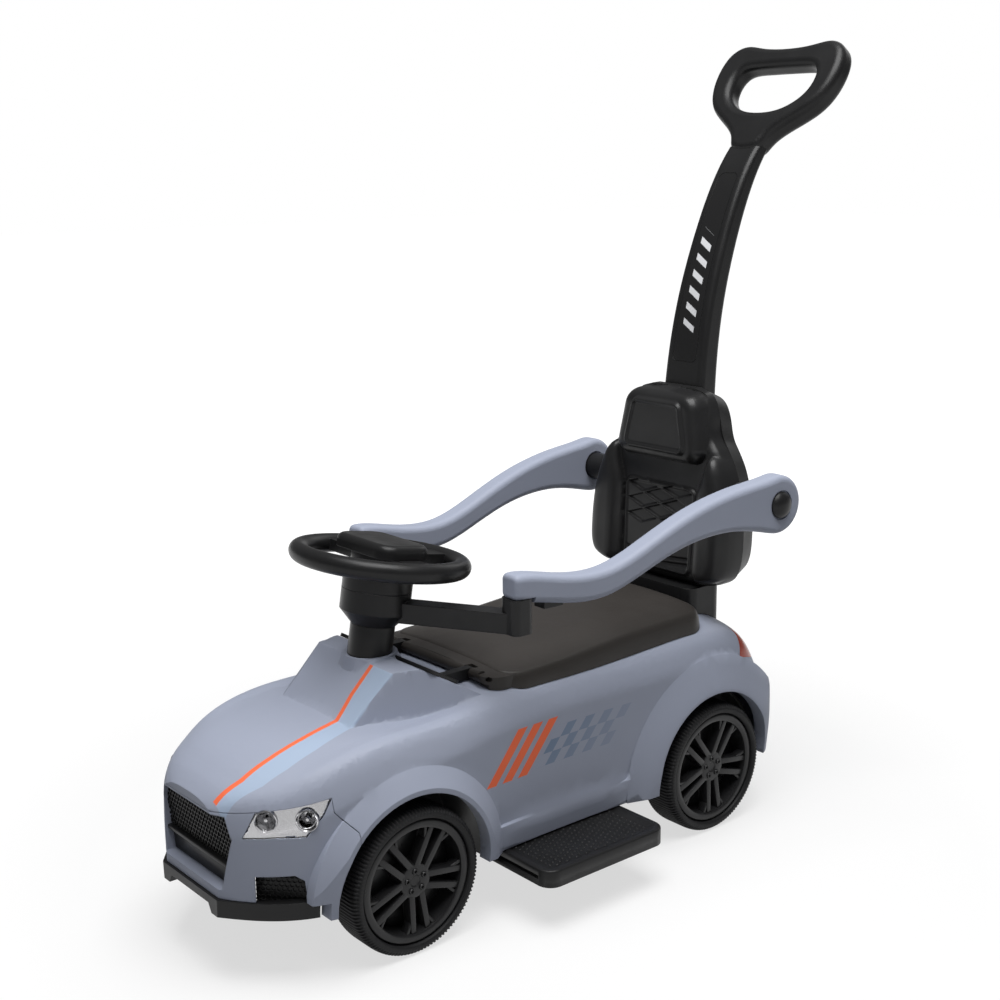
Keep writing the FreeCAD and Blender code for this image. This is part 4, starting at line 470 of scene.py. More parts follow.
class PUSHCAR_OT_stage(bpy.types.Operator):
    """Pale floor, soft lights and the camera"""
    bl_idname = "pushcar.stage"
    bl_label = "Stage"

    def execute(self, context):
        scene = context.scene
        scene.view_settings.view_transform = "Standard"
        shape = bmesh.new()
        bmesh.ops.create_grid(shape, x_segments=1, y_segments=1, size=FLOOR_HALF)
        floor = new_object("floor", shape)
        plain = Shader("floor_pale", 0.9, specular=0.1)
        path = plain.add("ShaderNodeLightPath").outputs
        seen = plain.maths("MAXIMUM", path["Is Camera Ray"], path["Is Transmission Ray"])
        seen = plain.maths("MAXIMUM", seen, path["Is Glossy Ray"])
        away = plain.feed(plain.add("ShaderNodeVectorMath", operation="LENGTH"), {0: plain.place}).outputs["Value"]
        glow = plain.maths("MULTIPLY", seen, plain.spread(away, *FLOOR_GLOW, *FLOOR_GLOW_RUN))
        plain.feed(plain.main, {"Base Color": FLOOR_TONE, "Emission Color": WHITE, "Emission Strength": glow})
        floor.data.materials.append(plain.material)
        world = bpy.data.worlds.new("studio")
        scene.world = world
        world.use_nodes = True
        sky = Nodes(world.node_tree)
        path = sky.add("ShaderNodeLightPath").outputs
        seen = sky.maths("ADD", path["Is Camera Ray"], path["Is Transmission Ray"], clamp=True)
        sky.feed(sky.tree.nodes["Background"], {"Color": WHITE, "Strength": sky.spread(seen, SKY_LIGHT, 1.0)})
        for name, (place, aim, size, power) in LAMP_AIM_SIZE_POWER.items():
            lamp = bpy.data.lights.new(name, "AREA")
            lamp.size = size
            lamp.energy = power
            obj = linked(name, lamp)
            obj.location = place
            obj.rotation_euler = (Vector(aim) - Vector(place)).to_track_quat("-Z", "Y").to_euler()
        camera = bpy.data.cameras.new("camera")
        camera.lens = CAMERA_LENS
        camera.sensor_width = CAMERA_SENSOR
        obj = linked("camera", camera)
        turn, rise, roll = (math.radians(angle) for angle in CAMERA_ANGLES)
        away = Vector((math.sin(turn) * math.cos(rise), -math.cos(turn) * math.cos(rise), math.sin(rise)))
        across = Vector((math.cos(turn), math.sin(turn), 0))
        up = away.cross(across)
        right = math.cos(roll) * across + math.sin(roll) * up
        top = math.cos(roll) * up - math.sin(roll) * across
        basis = Matrix((right, top, away)).transposed().to_4x4()
        obj.matrix_world = Matrix.Translation(CAMERA_PLACE) @ basis
        scene.camera = obj
        return {"FINISHED"}


class PUSHCAR_OT_carried(bpy.types.Operator):
    """Finishes for the nodes that keep their CAD shape"""
    bl_idname = "pushcar.carried"
    bl_label = "Carried-over nodes"

    def execute(self, context):
        tone = context.scene.pushcar_finish
        slots = {
            "body_paint": body_finish(tone),
            "black_plastic": moulded("satin_black", tone.black, 0.36, edge=0.0012, specular=0.24).material,
            "seat_plastic": moulded("seat_brown", tone.seat, 0.44, grain=700.0, specular=0.25).material,
            "quilted": moulded("back_black", scaled(tone.black, 1.2), 0.34, grain=650.0, specular=0.28).material,
            "tyre": moulded("tyre_black", tone.tyre, 0.55, grain=1500.0, specular=0.22).material,
            "rim": moulded("rim_black", tone.rim, 0.32, specular=0.32).material,
            "lens": lens_finish(),
            "reflector": chrome_finish(),
            "tail_lens": moulded("tail_red", tone.red, 0.2).material,
            "inlay": inlay_finish(tone),
            "steel": moulded("steel", (0.45, 0.45, 0.46), 0.35).material,
        }
        names = {row["node"]: row["material_slot"] for row in frame["record"]["subparts"]}
        for name, node in NODES.items():
            finish(node, slots[names[name]])
        return {"FINISHED"}


def wheels():
    """Each wheel's name and body, and its side's sign."""
    for end in ENDS:
        for side, sign in SIDES:
            yield f"{end}_{side}", f"{end}_wheel_{side}", sign


def on_face(part, node, sign, centred):
    """Place a shape made about X, from its outer face inwards, on a node's outer side, centred on another node."""
    low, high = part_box(node)
    face = high.x if sign > 0 else low.x
    low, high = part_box(centred)
    centre = (low + high) / 2
    flip = Matrix.Diagonal((-sign, 1, 1, 1))
    return outward(moved(part, Matrix.Translation((face, centre.y, centre.z)) @ flip))


RIB_STEPS = 4
NOTCH_RUN = (0.004, 0.011)


class PUSHCAR_OT_tyres(bpy.types.Operator):
    """Hollow-look tyres with ribbed tread and a row of shoulder blocks"""
    bl_idname = "pushcar.tyres"
    bl_label = "Tyres"

    def execute(self, context):
        sizes = context.scene.pushcar_sizes
        steps = sizes.rib_count * RIB_STEPS
        for name, body, sign in wheels():
            low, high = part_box(f"tyre_{name}")
            rim_low, rim_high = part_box(f"rim_{name}")
            wide, radius = high.x - low.x, (high.z - low.z) / 2
            bore = (rim_high.z - rim_low.z) / 2
            wall = radius - bore
            shoulder = radius - wall * 0.42
            half = [(0.0034, bore), (0.0010, bore + wall * 0.08), (0.0002, bore + wall * 0.24),
                    (0.0003, shoulder - wall * 0.08), (0.0009, shoulder), (0.0020, radius - wall * 0.2),
                    (0.0042, radius - wall * 0.07), (0.0075, radius - wall * 0.02), (0.0110, radius)]
            shape = lathe(half + [(wide - place, reach) for place, reach in reversed(half)], steps)
            for vert in shape.verts:
                reach = math.hypot(vert.co.y, vert.co.z)
                count = round(math.atan2(vert.co.y, vert.co.z) / (2 * math.pi) * steps)
                if reach > shoulder - 1e-5 and count % RIB_STEPS >= RIB_STEPS / 2:
                    drop = sizes.rib_depth * smooth_step(reach, shoulder - wall * 0.05, radius - wall * 0.1)
                    vert.co.y *= 1 - drop / reach
                    vert.co.z *= 1 - drop / reach
                    inner = min(vert.co.x, wide - vert.co.x)
                    notch = sizes.rib_depth * (1 - smooth_step(inner, *NOTCH_RUN))
                    vert.co.x += notch if vert.co.x < wide / 2 else -notch
            on_face(shape, f"tyre_{name}", sign, f"tyre_{name}")
            dressed(new_object(f"ribbed_tyre_{name}", shape, 50), "tyre_black", "tyre", body, f"tyre_{name}")
        return {"FINISHED"}


def spoke_bar(start, end, wide_start, wide_end, front_start, front_end, deep):
    """One tapered bar from start to end, each an (across, radius) place on the wheel's face."""
    part = bmesh.new()
    bmesh.ops.create_cube(part, size=2)
    for vert in part.verts:
        outer = vert.co.z > 0
        place, wide, front = (end, wide_end, front_end) if outer else (start, wide_start, front_start)
        behind = vert.co.x > 0
        vert.co = (front + deep if behind else front, place[0] + vert.co.y * wide / (1.7 if behind else 2), place[1])
    return rounded(part, part.edges, 0.0009, 2)


RIM_GAP = 0.0006
SPOKE_COUNT = 5
SPOKE_START = -31


class PUSHCAR_OT_rims(bpy.types.Operator):
    """Rims with five twin spokes, forked ends, a flat hub with lug wells and a back disc"""
    bl_idname = "pushcar.rims"
    bl_label = "Rims"

    def execute(self, context):
        sizes = context.scene.pushcar_sizes
        wide = sizes.spoke_wide
        for name, body, sign in wheels():
            low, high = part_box(f"rim_{name}")
            radius, deep = (high.z - low.z) / 2 - RIM_GAP, high.x - low.x
            inner, hub_radius = radius * 0.865, radius * 0.27
            shape = lathe([(0.0022, radius), (0.0008, radius - 0.0008), (0.0, radius - 0.0022),
                           (0.0, inner + 0.0014), (0.0010, inner), (0.0060, inner - 0.0012),
                           (deep * 0.62, inner - 0.0020), (deep, inner - 0.0020), (deep, radius)], 144)
            disc = lathe([(0.0215, 0.0), (0.0205, radius * 0.28), (0.0190, radius * 0.60), (0.0200, radius * 0.74),
                          (0.0240, inner), (0.0290, inner), (0.0290, 0.0)], 96, closed=False)
            hub = lathe([(0.0042, 0.0), (0.0042, hub_radius * 0.30), (0.0030, hub_radius * 0.38),
                         (0.0026, hub_radius * 0.86), (0.0034, hub_radius), (0.0110, hub_radius * 1.10),
                         (0.0230, hub_radius * 1.16), (0.0230, 0.0)], 80, closed=False)
            joined(shape, disc, hub)
            for count in range(SPOKE_COUNT):
                turn = Matrix.Rotation(math.radians(SPOKE_START + 360 / SPOKE_COUNT * count), 4, "X")
                for hand in (-1, 1):
                    bar = spoke_bar((hand * wide * 0.82, hub_radius * 0.6), (hand * wide * 1.30, inner + 0.002),
                                    wide, wide * 0.92, 0.0030, 0.0022, sizes.spoke_deep)
                    fork = spoke_bar((hand * wide * 1.40, inner * 0.76), (hand * wide * 2.75, inner + 0.0025),
                                     wide * 0.5, wide * 0.62, 0.0034, 0.0022, sizes.spoke_deep * 0.8)
                    joined(shape, moved(bar, turn), moved(fork, turn))
                well = lathe([(0.0040, 0.0), (0.0040, 0.0014), (0.0014, 0.0017), (0.0012, 0.0026),
                              (0.0020, 0.0032), (0.0060, 0.0034), (0.0060, 0.0)], 20, closed=False)
                between = Matrix.Rotation(math.pi / SPOKE_COUNT, 4, "X")
                joined(shape, moved(well, turn @ between @ Matrix.Translation((0, 0, hub_radius * 0.62))))
            on_face(shape, f"rim_{name}", sign, f"tyre_{name}")
            dressed(new_object(f"twin_spoke_rim_{name}", shape), "rim_black", "rim", body, f"rim_{name}")
        return {"FINISHED"}


BACK_OUTLINE = ((0, 0.60), (0.035, 0.84), (0.09, 0.96), (0.2, 1.0), (0.42, 0.97), (0.6, 0.86), (0.70, 0.73),
                (0.77, 0.62), (0.90, 0.56), (0.975, 0.46), (1.0, 0.30))


BACK_LEAN, BACK_EDGE = 3.5, 0.012
SUNK_SHARE, HEAD_SHARE, QUILT_SHARE = 0.42, 0.64, 0.392
PANEL_HALF, PANEL_SPREAD = 0.064, 0.010
BOLSTER_ROLL, BOLSTER_INNER_ROLL, BOLSTER_LIP, BOLSTER_TOP, BOLSTER_DROP = 0.022, 0.018, 0.004, 0.030, 0.002
HEAD_HALF, HEAD_TAPER, HEAD_CORNER, HEAD_ROLL, HEAD_OVER = 0.069, 0.011, 0.020, 0.016, 0.003
FRAME_HALF, FRAME_FLARE, FRAME_CORNER, FRAME_LIP, FRAME_DISH = 0.056, 0.03, 0.010, 0.0034, 0.0016
FRAME_SHARES, PAD_SHARES = (0.05, 0.50), (0.675, 0.945)
SEAM_STEPS, SEAM_DEEP = (0.007, 0.014), 0.0011
PAD_HALF, PAD_TAPER, PAD_CORNER, PAD_RISE, PAD_DISH = 0.050, 0.010, 0.011, 0.0036, 0.0022


class PUSHCAR_OT_backrest(bpy.types.Operator):
    """Backrest front: bolsters, sunk panel with quilted pockets, head block and pillow"""
    bl_idname = "pushcar.backrest"
    bl_label = "Backrest"

    def execute(self, context):
        sizes = context.scene.pushcar_sizes
        low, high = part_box("backrest_front")
        tall, half = high.z - low.z, high.x
        lean = math.tan(math.radians(BACK_LEAN))
        parting = high.y - tall * lean
        deep = parting - low.y
        sunk, head, middle = deep * SUNK_SHARE, tall * HEAD_SHARE, tall * QUILT_SHARE
        frame_low, frame_high = (tall * share for share in FRAME_SHARES)
        pad_low, pad_high = (tall * share for share in PAD_SHARES)

        def width(rise):
            return half * along(BACK_OUTLINE, min(max(rise / tall, 0.0), 1.0))

        def pocket(x, rise):
            """Depth share of the quilted diamonds, in three staggered columns."""
            across, up = x / sizes.pocket_wide, (rise - middle) / sizes.pocket_high
            first, second = across + up, across - up
            column = math.floor(first) + math.floor(second) + 1
            row = math.floor(first) - math.floor(second)
            if abs(column) > 1 or not -2.6 < row < 2.6:
                return 0.0
            inset = 0.5 - max(abs(first % 1 - 0.5), abs(second % 1 - 0.5))
            return smooth_step(inset, 0.050, 0.105)

        def front(x, rise):
            reach = width(rise)
            slope = (width(rise + 0.001) - width(rise - 0.001)) / 0.002
            inside = (reach - abs(x)) / math.sqrt(1 + slope * slope)
            rim = rolled(inside / BACK_EDGE, rise / BACK_EDGE, (tall - rise) / BACK_EDGE)
            base = deep - sunk - BACK_EDGE * (1 - rim)
            side = PANEL_HALF + PANEL_SPREAD * smooth_step(rise, head * 0.72, head)
            bolster = rolled(inside / BOLSTER_ROLL, rise / BOLSTER_ROLL,
                             (abs(x) - side + BOLSTER_LIP) / BOLSTER_INNER_ROLL,
                             (head + BOLSTER_TOP - rise) / BOLSTER_TOP)
            head_half = HEAD_HALF - HEAD_TAPER * smooth_step(rise, head, tall)
            block_in = round_inset(head_half - abs(x), min(rise - head + HEAD_OVER, tall - HEAD_OVER - rise),
                                   HEAD_CORNER)
            body = max(base, base + (deep - BOLSTER_DROP - base) * bolster,
                       base + (deep - base) * rolled(block_in / HEAD_ROLL))
            inset = round_inset(FRAME_HALF - abs(x) + (rise - middle) * FRAME_FLARE,
                                min(rise - frame_low, frame_high - rise), FRAME_CORNER)
            raised = smooth_step(inset, -0.0018, 0.0012) * (1 - bolster)
            body += raised * (FRAME_LIP - FRAME_DISH * smooth_step(inset, 0.002, 0.005)
                              - sizes.pocket_deep * pocket(x, rise))
            for step in SEAM_STEPS:
                line = abs(rise - frame_low - step - 0.10 * abs(x))
                body -= SEAM_DEEP * (1 - smooth_step(line, 0.0009, 0.0020)) * (abs(x) < PAD_HALF)
            pad_half = PAD_HALF - PAD_TAPER * smooth_step(rise, tall * 0.68, tall * 0.95)
            pad = round_inset(pad_half - abs(x), min(rise - pad_low, pad_high - rise), PAD_CORNER)
            body += PAD_RISE * smooth_step(pad, -0.001, 0.004) - PAD_DISH * smooth_step(pad, 0.004, 0.008)
            return body

        shape = bmesh.new()
        bmesh.ops.create_grid(shape, x_segments=210, y_segments=230, size=1)
        for vert in shape.verts:
            rise = (vert.co.y + 1) / 2 * tall
            x = vert.co.x * width(rise)
            vert.co = (x, parting - front(x, rise), rise)
        border = [item for item in shape.edges if item.is_boundary]
        made = bmesh.ops.extrude_edge_only(shape, edges=border)["geom"]
        for vert in made:
            if isinstance(vert, bmesh.types.BMVert):
                vert.co.y = parting
        bmesh.ops.contextual_create(shape, geom=[item for item in made if isinstance(item, bmesh.types.BMEdge)])
        for vert in shape.verts:
            vert.co.y += vert.co.z * lean
            vert.co.z += low.z
        dressed(new_object("quilted_backrest", outward(shape), 60), "back_black", "quilted", "car_body",
                "backrest_front")
        return {"FINISHED"}


def height_over(name):
    """A function that gives a node's top height at a place."""
    tree = surface(name, Matrix())

    def height(x, y):
        hit = tree.ray_cast(Vector((x, y, 1.0)), Vector((0, 0, -1)))[0]
        return hit.z if hit else None

    return height


BONNET_DROP = ((-0.424, 0), (-0.402, 0.004), (-0.370, 0.009), (-0.316, 0.0150), (-0.265, 0.0165), (-0.213, 0.016),
               (-0.175, 0.009), (-0.140, 0))
BONNET_SPREAD = ((0, 1), (0.045, 1), (0.085, 0.76), (0.100, 0.32), (0.111, 0))
LAMP_TOP = 0.1815
COWL_CORNER = Vector((0.066, -0.233, 0.264))
COWL_FOOT = Vector((0.061, -0.285, 0.217))
COWL_TAIL = Vector((0.095, -0.145, 0.237))
COWL_REAR = -0.206
COWL_ZONE = (0.097, -0.294, -0.139)
COLUMN = Vector((0, -0.2142, 0.270))
COLLAR_RISE = 0.0025
COLLAR_REACH, COLLAR_OUTER, COLLAR_INNER = 0.0297, 0.0302, 0.0262
BONNET_REAR, BONNET_LOW, BONNET_HALF = -0.13, 0.17, 0.1115
CUT_PITCH = 0.010
COWL_BEND = Vector((0.0736, COWL_REAR))


class Bonnet:
    """Heights of the body's top with a lower bonnet in front of a crisp cowl."""

    def __init__(self):
        self.top = height_over("body_shell")
        self.side = (COWL_CORNER - COWL_FOOT).cross(COWL_TAIL - COWL_FOOT)
        self.front = (COWL_CORNER.z - COWL_FOOT.z) / (COWL_CORNER.y - COWL_FOOT.y)

    def drop(self, x, y):
        """How far the bonnet lies under the CAD shell."""
        if not BONNET_DROP[0][0] < y < BONNET_DROP[-1][0] or abs(x) >= BONNET_SPREAD[-1][0]:
            return 0.0
        spare = smooth_step(self.top(x, y) or 0.0, LAMP_TOP - 0.010, LAMP_TOP + 0.018)
        return max(0.0, spare * along(BONNET_DROP, y) * along(BONNET_SPREAD, abs(x)))

    def bonnet(self, x, y):
        """Height of the bonnet as if it ran on under the cowl."""
        edge, start = COWL_ZONE[0], COWL_ZONE[1] - 0.006
        rise = self.top(abs(x), start) - self.top(edge, start)
        return self.top(edge, y) + rise - self.drop(x, y)

    def cowl(self, x, y):
        flank = COWL_CORNER.z - (self.side.x * (abs(x) - COWL_CORNER.x)
                                 + self.side.y * (y - COWL_CORNER.y)) / self.side.z
        return min(COWL_CORNER.z, COWL_CORNER.z + self.front * (y - COWL_CORNER.y), flank)

    def height(self, x, y):
        """Height of the new top at a place inside the cowl's zone."""
        return max(self.bonnet(x, y), self.cowl(x, y))

    def level(self, vert):
        """New height of one vertex of the CAD shell."""
        x, y, z = vert
        edge, start, end = COWL_ZONE
        if abs(x) >= edge or not start < y < end:
            return z - self.drop(x, y)
        from_column = Vector((x, y)) - COLUMN.xy
        if from_column.length < COLLAR_REACH:
            way = from_column.normalized()
            outside, inside = COLUMN.xy + way * COLLAR_OUTER, COLUMN.xy + way * COLLAR_INNER
            slope, crest = self.top(*outside), self.top(*inside)
            share = min(max((z - slope) / max(crest - slope, 0.001), 0.0), 1.0)
            low = self.height(x, y)
            rise = max(low, COWL_CORNER.z) + COLLAR_RISE - low
            return low + rise * share if z > slope - 0.0005 else z + low - slope
        old = self.top(x * 0.9995, y)
        if old is None or (y > COWL_REAR and self.cowl(x, y) > old - 0.0015):
            return z
        return z + self.height(x, y) - old


def bonnet_cuts():
    """Places and directions of the upright cuts that refine the bonnet and give the cowl its edges."""
    cuts = [((0, -0.425 + CUT_PITCH * step, 0), (0, 1, 0)) for step in range(29)]
    cuts += [((CUT_PITCH * step, 0, 0), (1, 0, 0)) for step in range(-12, 13)]
    cuts += [((0, COWL_CORNER.y, 0), (0, 1, 0)), ((0, COWL_FOOT.y + 0.0025, 0), (0, 1, 0))]
    foot_tail = Vector((0.0965, -0.145))
    for first, second in ((COWL_FOOT.xy, COWL_CORNER.xy), (COWL_CORNER.xy, COWL_BEND),
                          (COWL_BEND, COWL_TAIL.xy), (COWL_FOOT.xy, foot_tail)):
        for hand in (1, -1):
            run = second - first
            cuts.append(((hand * first.x, first.y, 0), (run.y, -hand * run.x, 0)))
    return cuts


class PUSHCAR_OT_bonnet(bpy.types.Operator):
    """Body shell with a lower bonnet and a crisp-edged cowl"""
    bl_idname = "pushcar.bonnet"
    bl_label = "Bonnet and cowl"

    def execute(self, context):
        bonnet = Bonnet()
        shape = merged("body_shell")
        for place, normal in bonnet_cuts():
            near = [face for face in shape.faces
                    if all(vert.co.y < BONNET_REAR and vert.co.z > BONNET_LOW and abs(vert.co.x) < BONNET_HALF
                           for vert in face.verts)]
            geom = near + list({edge for face in near for edge in face.edges})
            geom += list({vert for face in near for vert in face.verts})
            bmesh.ops.bisect_plane(shape, geom=geom, dist=2e-5, plane_co=place, plane_no=normal)
        for vert in shape.verts:
            if vert.co.y < BONNET_DROP[-1][0] and vert.co.z > BONNET_LOW:
                vert.co.z = bonnet.level(vert.co)
        bmesh.ops.triangulate(shape, faces=shape.faces)
        piece = new_object("moulded_body", outward(shape), 24)
        normals = piece.modifiers.new("normals", "WEIGHTED_NORMAL")
        normals.keep_sharp = True
        dressed(piece, "body_grey", "body_paint", "car_body", "body_shell")
        return {"FINISHED"}


CROWN_ROLL, RISE_ROLL, RISE_REACH = 0.05, 0.022, 0.075


SKIN_CORNER, SKIN_WALL, SKIN_DEEP, SKIN_CLEAR, SKIN_OVER = 0.030, 0.002, 0.012, 0.0028, 0.0008
SKIN_FRONT, SKIN_REAR = 0.018, 0.005
HELD_EDGE, HELD_FRONT, HELD_CORNER, HELD_BEFORE, HELD_ROUND = 0.002, 0.020, 0.026, 0.032, 0.024


class PUSHCAR_OT_seat(bpy.types.Operator):
    """Saddle skin over the seat lid, with a crown and rolled edges"""
    bl_idname = "pushcar.seat"
    bl_label = "Seat"

    def execute(self, context):
        sizes = context.scene.pushcar_sizes
        low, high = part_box("seat_lid")
        lid, deck = height_over("seat_lid"), height_over("body_shell")
        roll, corner = sizes.seat_roll + 0.001, SKIN_CORNER
        half = high.x + sizes.seat_roll
        front, rear = low.y + SKIN_FRONT, high.y + SKIN_REAR
        middle, long = (front + rear) / 2, (rear - front) / 2
        shape = bmesh.new()
        bmesh.ops.create_grid(shape, x_segments=110, y_segments=150, size=1)
        for vert in shape.verts:
            y = middle + vert.co.y * long
            over = max(0.0, abs(y - middle) - (long - corner))
            reach = half - corner + math.sqrt(max(0.0, corner * corner - over * over))
            x = vert.co.x * reach
            held_x = min(max(x, low.x + HELD_EDGE), high.x - HELD_EDGE)
            held_y = min(max(y, low.y + HELD_FRONT), high.y - HELD_EDGE)
            corner_x, corner_y = abs(held_x) - (high.x - HELD_CORNER), abs(held_y - middle) - (long - HELD_BEFORE)
            if corner_x > 0 and corner_y > 0:
                shrink = min(1.0, HELD_ROUND / math.hypot(corner_x, corner_y))
                held_x = math.copysign(high.x - HELD_CORNER + corner_x * shrink, held_x)
                held_y = middle + math.copysign(long - HELD_BEFORE + corner_y * shrink, held_y - middle)
            top, base = lid(held_x, held_y), deck(x, y)
            if top is None:
                raise RuntimeError("the seat skin leaves its lid")
            base = (top - SKIN_DEEP if base is None else base) + SKIN_CLEAR
            inside = (reach - abs(x), rear - y, y - front)
            crown = sizes.seat_crown * (1 - (x / half) ** 2) * rolled(*(share / CROWN_ROLL for share in inside[1:]))
            behind = smooth_step(y, -RISE_REACH, RISE_REACH)
            crown += sizes.seat_rise * behind * rolled(*(share / RISE_ROLL for share in inside[:2]))
            fall = rolled(*(share / roll for share in inside))
            vert.co = (x, y, base + (top + SKIN_OVER + crown - base) * fall)
        bmesh.ops.recalc_face_normals(shape, faces=shape.faces)
        thickened(shape, (0, 0, -SKIN_WALL))
        dressed(new_object("saddle_skin", shape, 60), "seat_brown", "seat_plastic", "seat")
        return {"FINISHED"}


TREAD_RIM = 0.0075
TREAD_STEP = 0.0016
TREAD_DEEP = 0.0013
TRAY_ROUND = 0.0022
STUD_MARGIN = 0.016
STUD_RADII = (0.0014, 0.0007)


class PUSHCAR_OT_footrests(bpy.types.Operator):
    """Footrest trays with a rounded rim and a sunk, studded tread"""
    bl_idname = "pushcar.footrests"
    bl_label = "Footrests"

    def execute(self, context):
        sizes = context.scene.pushcar_sizes
        for side, sign in SIDES:
            low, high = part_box(f"footrest_{side}")
            shape = merged(f"footrest_{side}")
            bmesh.ops.dissolve_limit(shape, angle_limit=math.radians(1), verts=shape.verts, edges=shape.edges)
            top = max((face for face in shape.faces if face.normal.z > 0.99), key=lambda face: face.calc_area())
            bmesh.ops.inset_region(shape, faces=[top], thickness=TREAD_RIM, use_even_offset=True)
            bmesh.ops.inset_region(shape, faces=[top], thickness=TREAD_STEP, depth=-TREAD_DEEP, use_even_offset=True)
            level = high.z - TREAD_DEEP + sizes.stud_high / 2
            rim = [edge for edge in shape.edges if all(abs(vert.co.z - high.z) < 1e-5 for vert in edge.verts)
                   and any(abs(face.normal.z) < 0.1 for face in edge.link_faces)]
            rounded(shape, rim, TRAY_ROUND, 3)
            pitch, margin = sizes.stud_pitch, STUD_MARGIN
            rows = int((high.y - low.y - 2 * margin) / pitch)
            columns = int((high.x - low.x - 2 * margin) / pitch)
            for row in range(rows + 1):
                for column in range(columns + 1):
                    stud = bmesh.new()
                    bmesh.ops.create_cone(stud, cap_ends=True, segments=8, radius1=STUD_RADII[0],
                                          radius2=STUD_RADII[1], depth=sizes.stud_high)
                    x = low.x + margin + (column + 0.5 * (row % 2)) * pitch
                    place = (x, low.y + margin + row * pitch, level)
                    joined(shape, moved(stud, Matrix.Translation(place)))
            dressed(new_object(f"studded_footrest_{side}", shape, 45), "satin_black", "black_plastic",
                    f"foot_tray_{side}", f"footrest_{side}")
        return {"FINISHED"}


def honeycomb(wide, high, pitch, bar):
    """A flat sheet of joined six-sided rings about the origin, in the XZ plane."""
    part = bmesh.new()
    bmesh.ops.create_circle(part, cap_ends=True, segments=6, radius=pitch / math.sqrt(3))
    hole = part.faces[:]
    bmesh.ops.inset_individual(part, faces=hole, thickness=bar / 2)
    bmesh.ops.delete(part, geom=hole, context="FACES_ONLY")
    cell = part.verts[:] + part.edges[:] + part.faces[:]
    rise = pitch * math.sqrt(3) / 2
    for row in range(-int(high / 2 / rise) - 1, int(high / 2 / rise) + 2):
        for column in range(-int(wide / 2 / pitch) - 1, int(wide / 2 / pitch) + 2):
            if row or column:
                made = bmesh.ops.duplicate(part, geom=cell)["geom"]
                verts = [item for item in made if isinstance(item, bmesh.types.BMVert)]
                bmesh.ops.translate(part, vec=((column + 0.5 * (row % 2)) * pitch, row * rise, 0), verts=verts)
    bmesh.ops.remove_doubles(part, verts=part.verts, dist=1e-5)
    return moved(part, Matrix.Rotation(math.pi / 2, 4, "X"))


def trimmed(part, outline):
    """Cut a sheet in the XZ plane back to a convex outline of (x, z) points, given clockwise from the front."""
    for start, end in zip(outline, outline[1:] + outline[:1]):
        along_x, along_z = end[0] - start[0], end[1] - start[1]
        cut(part, (start[0], 0, start[1]), (-along_z, 0, along_x), True)
    return part


def facing(name, turn):
    """Outline of a node as (x, z) points seen square on through a turn, and its nearest place there."""
    back = turn.inverted()
    points = [back @ vert.co for vert in NODES[name].data.vertices]
    hull = convex_hull_2d([(point.x, point.z) for point in points])
    outline = [(points[index].x, points[index].z) for index in reversed(hull)]
    return outline, min(point.y for point in points)


def ring_plate(outline, wide, thick):
    """A flat frame of even width inside an outline of (x, z) points."""
    part = bmesh.new()
    face = part.faces.new([part.verts.new((x, 0, z)) for x, z in outline])
    bmesh.ops.inset_region(part, faces=[face], thickness=wide, use_even_offset=True)
    bmesh.ops.delete(part, geom=[face], context="FACES_ONLY")
    return thickened(part, (0, thick, 0))


MESH_INSET, MESH_THICK, BACKING_THICK = 0.005, 0.0030, 0.0012
FRAME_WIDE, FRAME_THICK, FRAME_PROUD = 0.0016, 0.0040, 0.0006
LOWER_SET, LOWER_ROUND, BEAD_ROUND = 0.0004, 0.0008, 0.0016
INTAKE_WIDE, INTAKE_THICK, INTAKE_MESH = 0.0014, 0.0030, 0.0024
INTAKE_YAW = 42
INTAKE_INWARD, INTAKE_DOWN = 0.004, 0.006


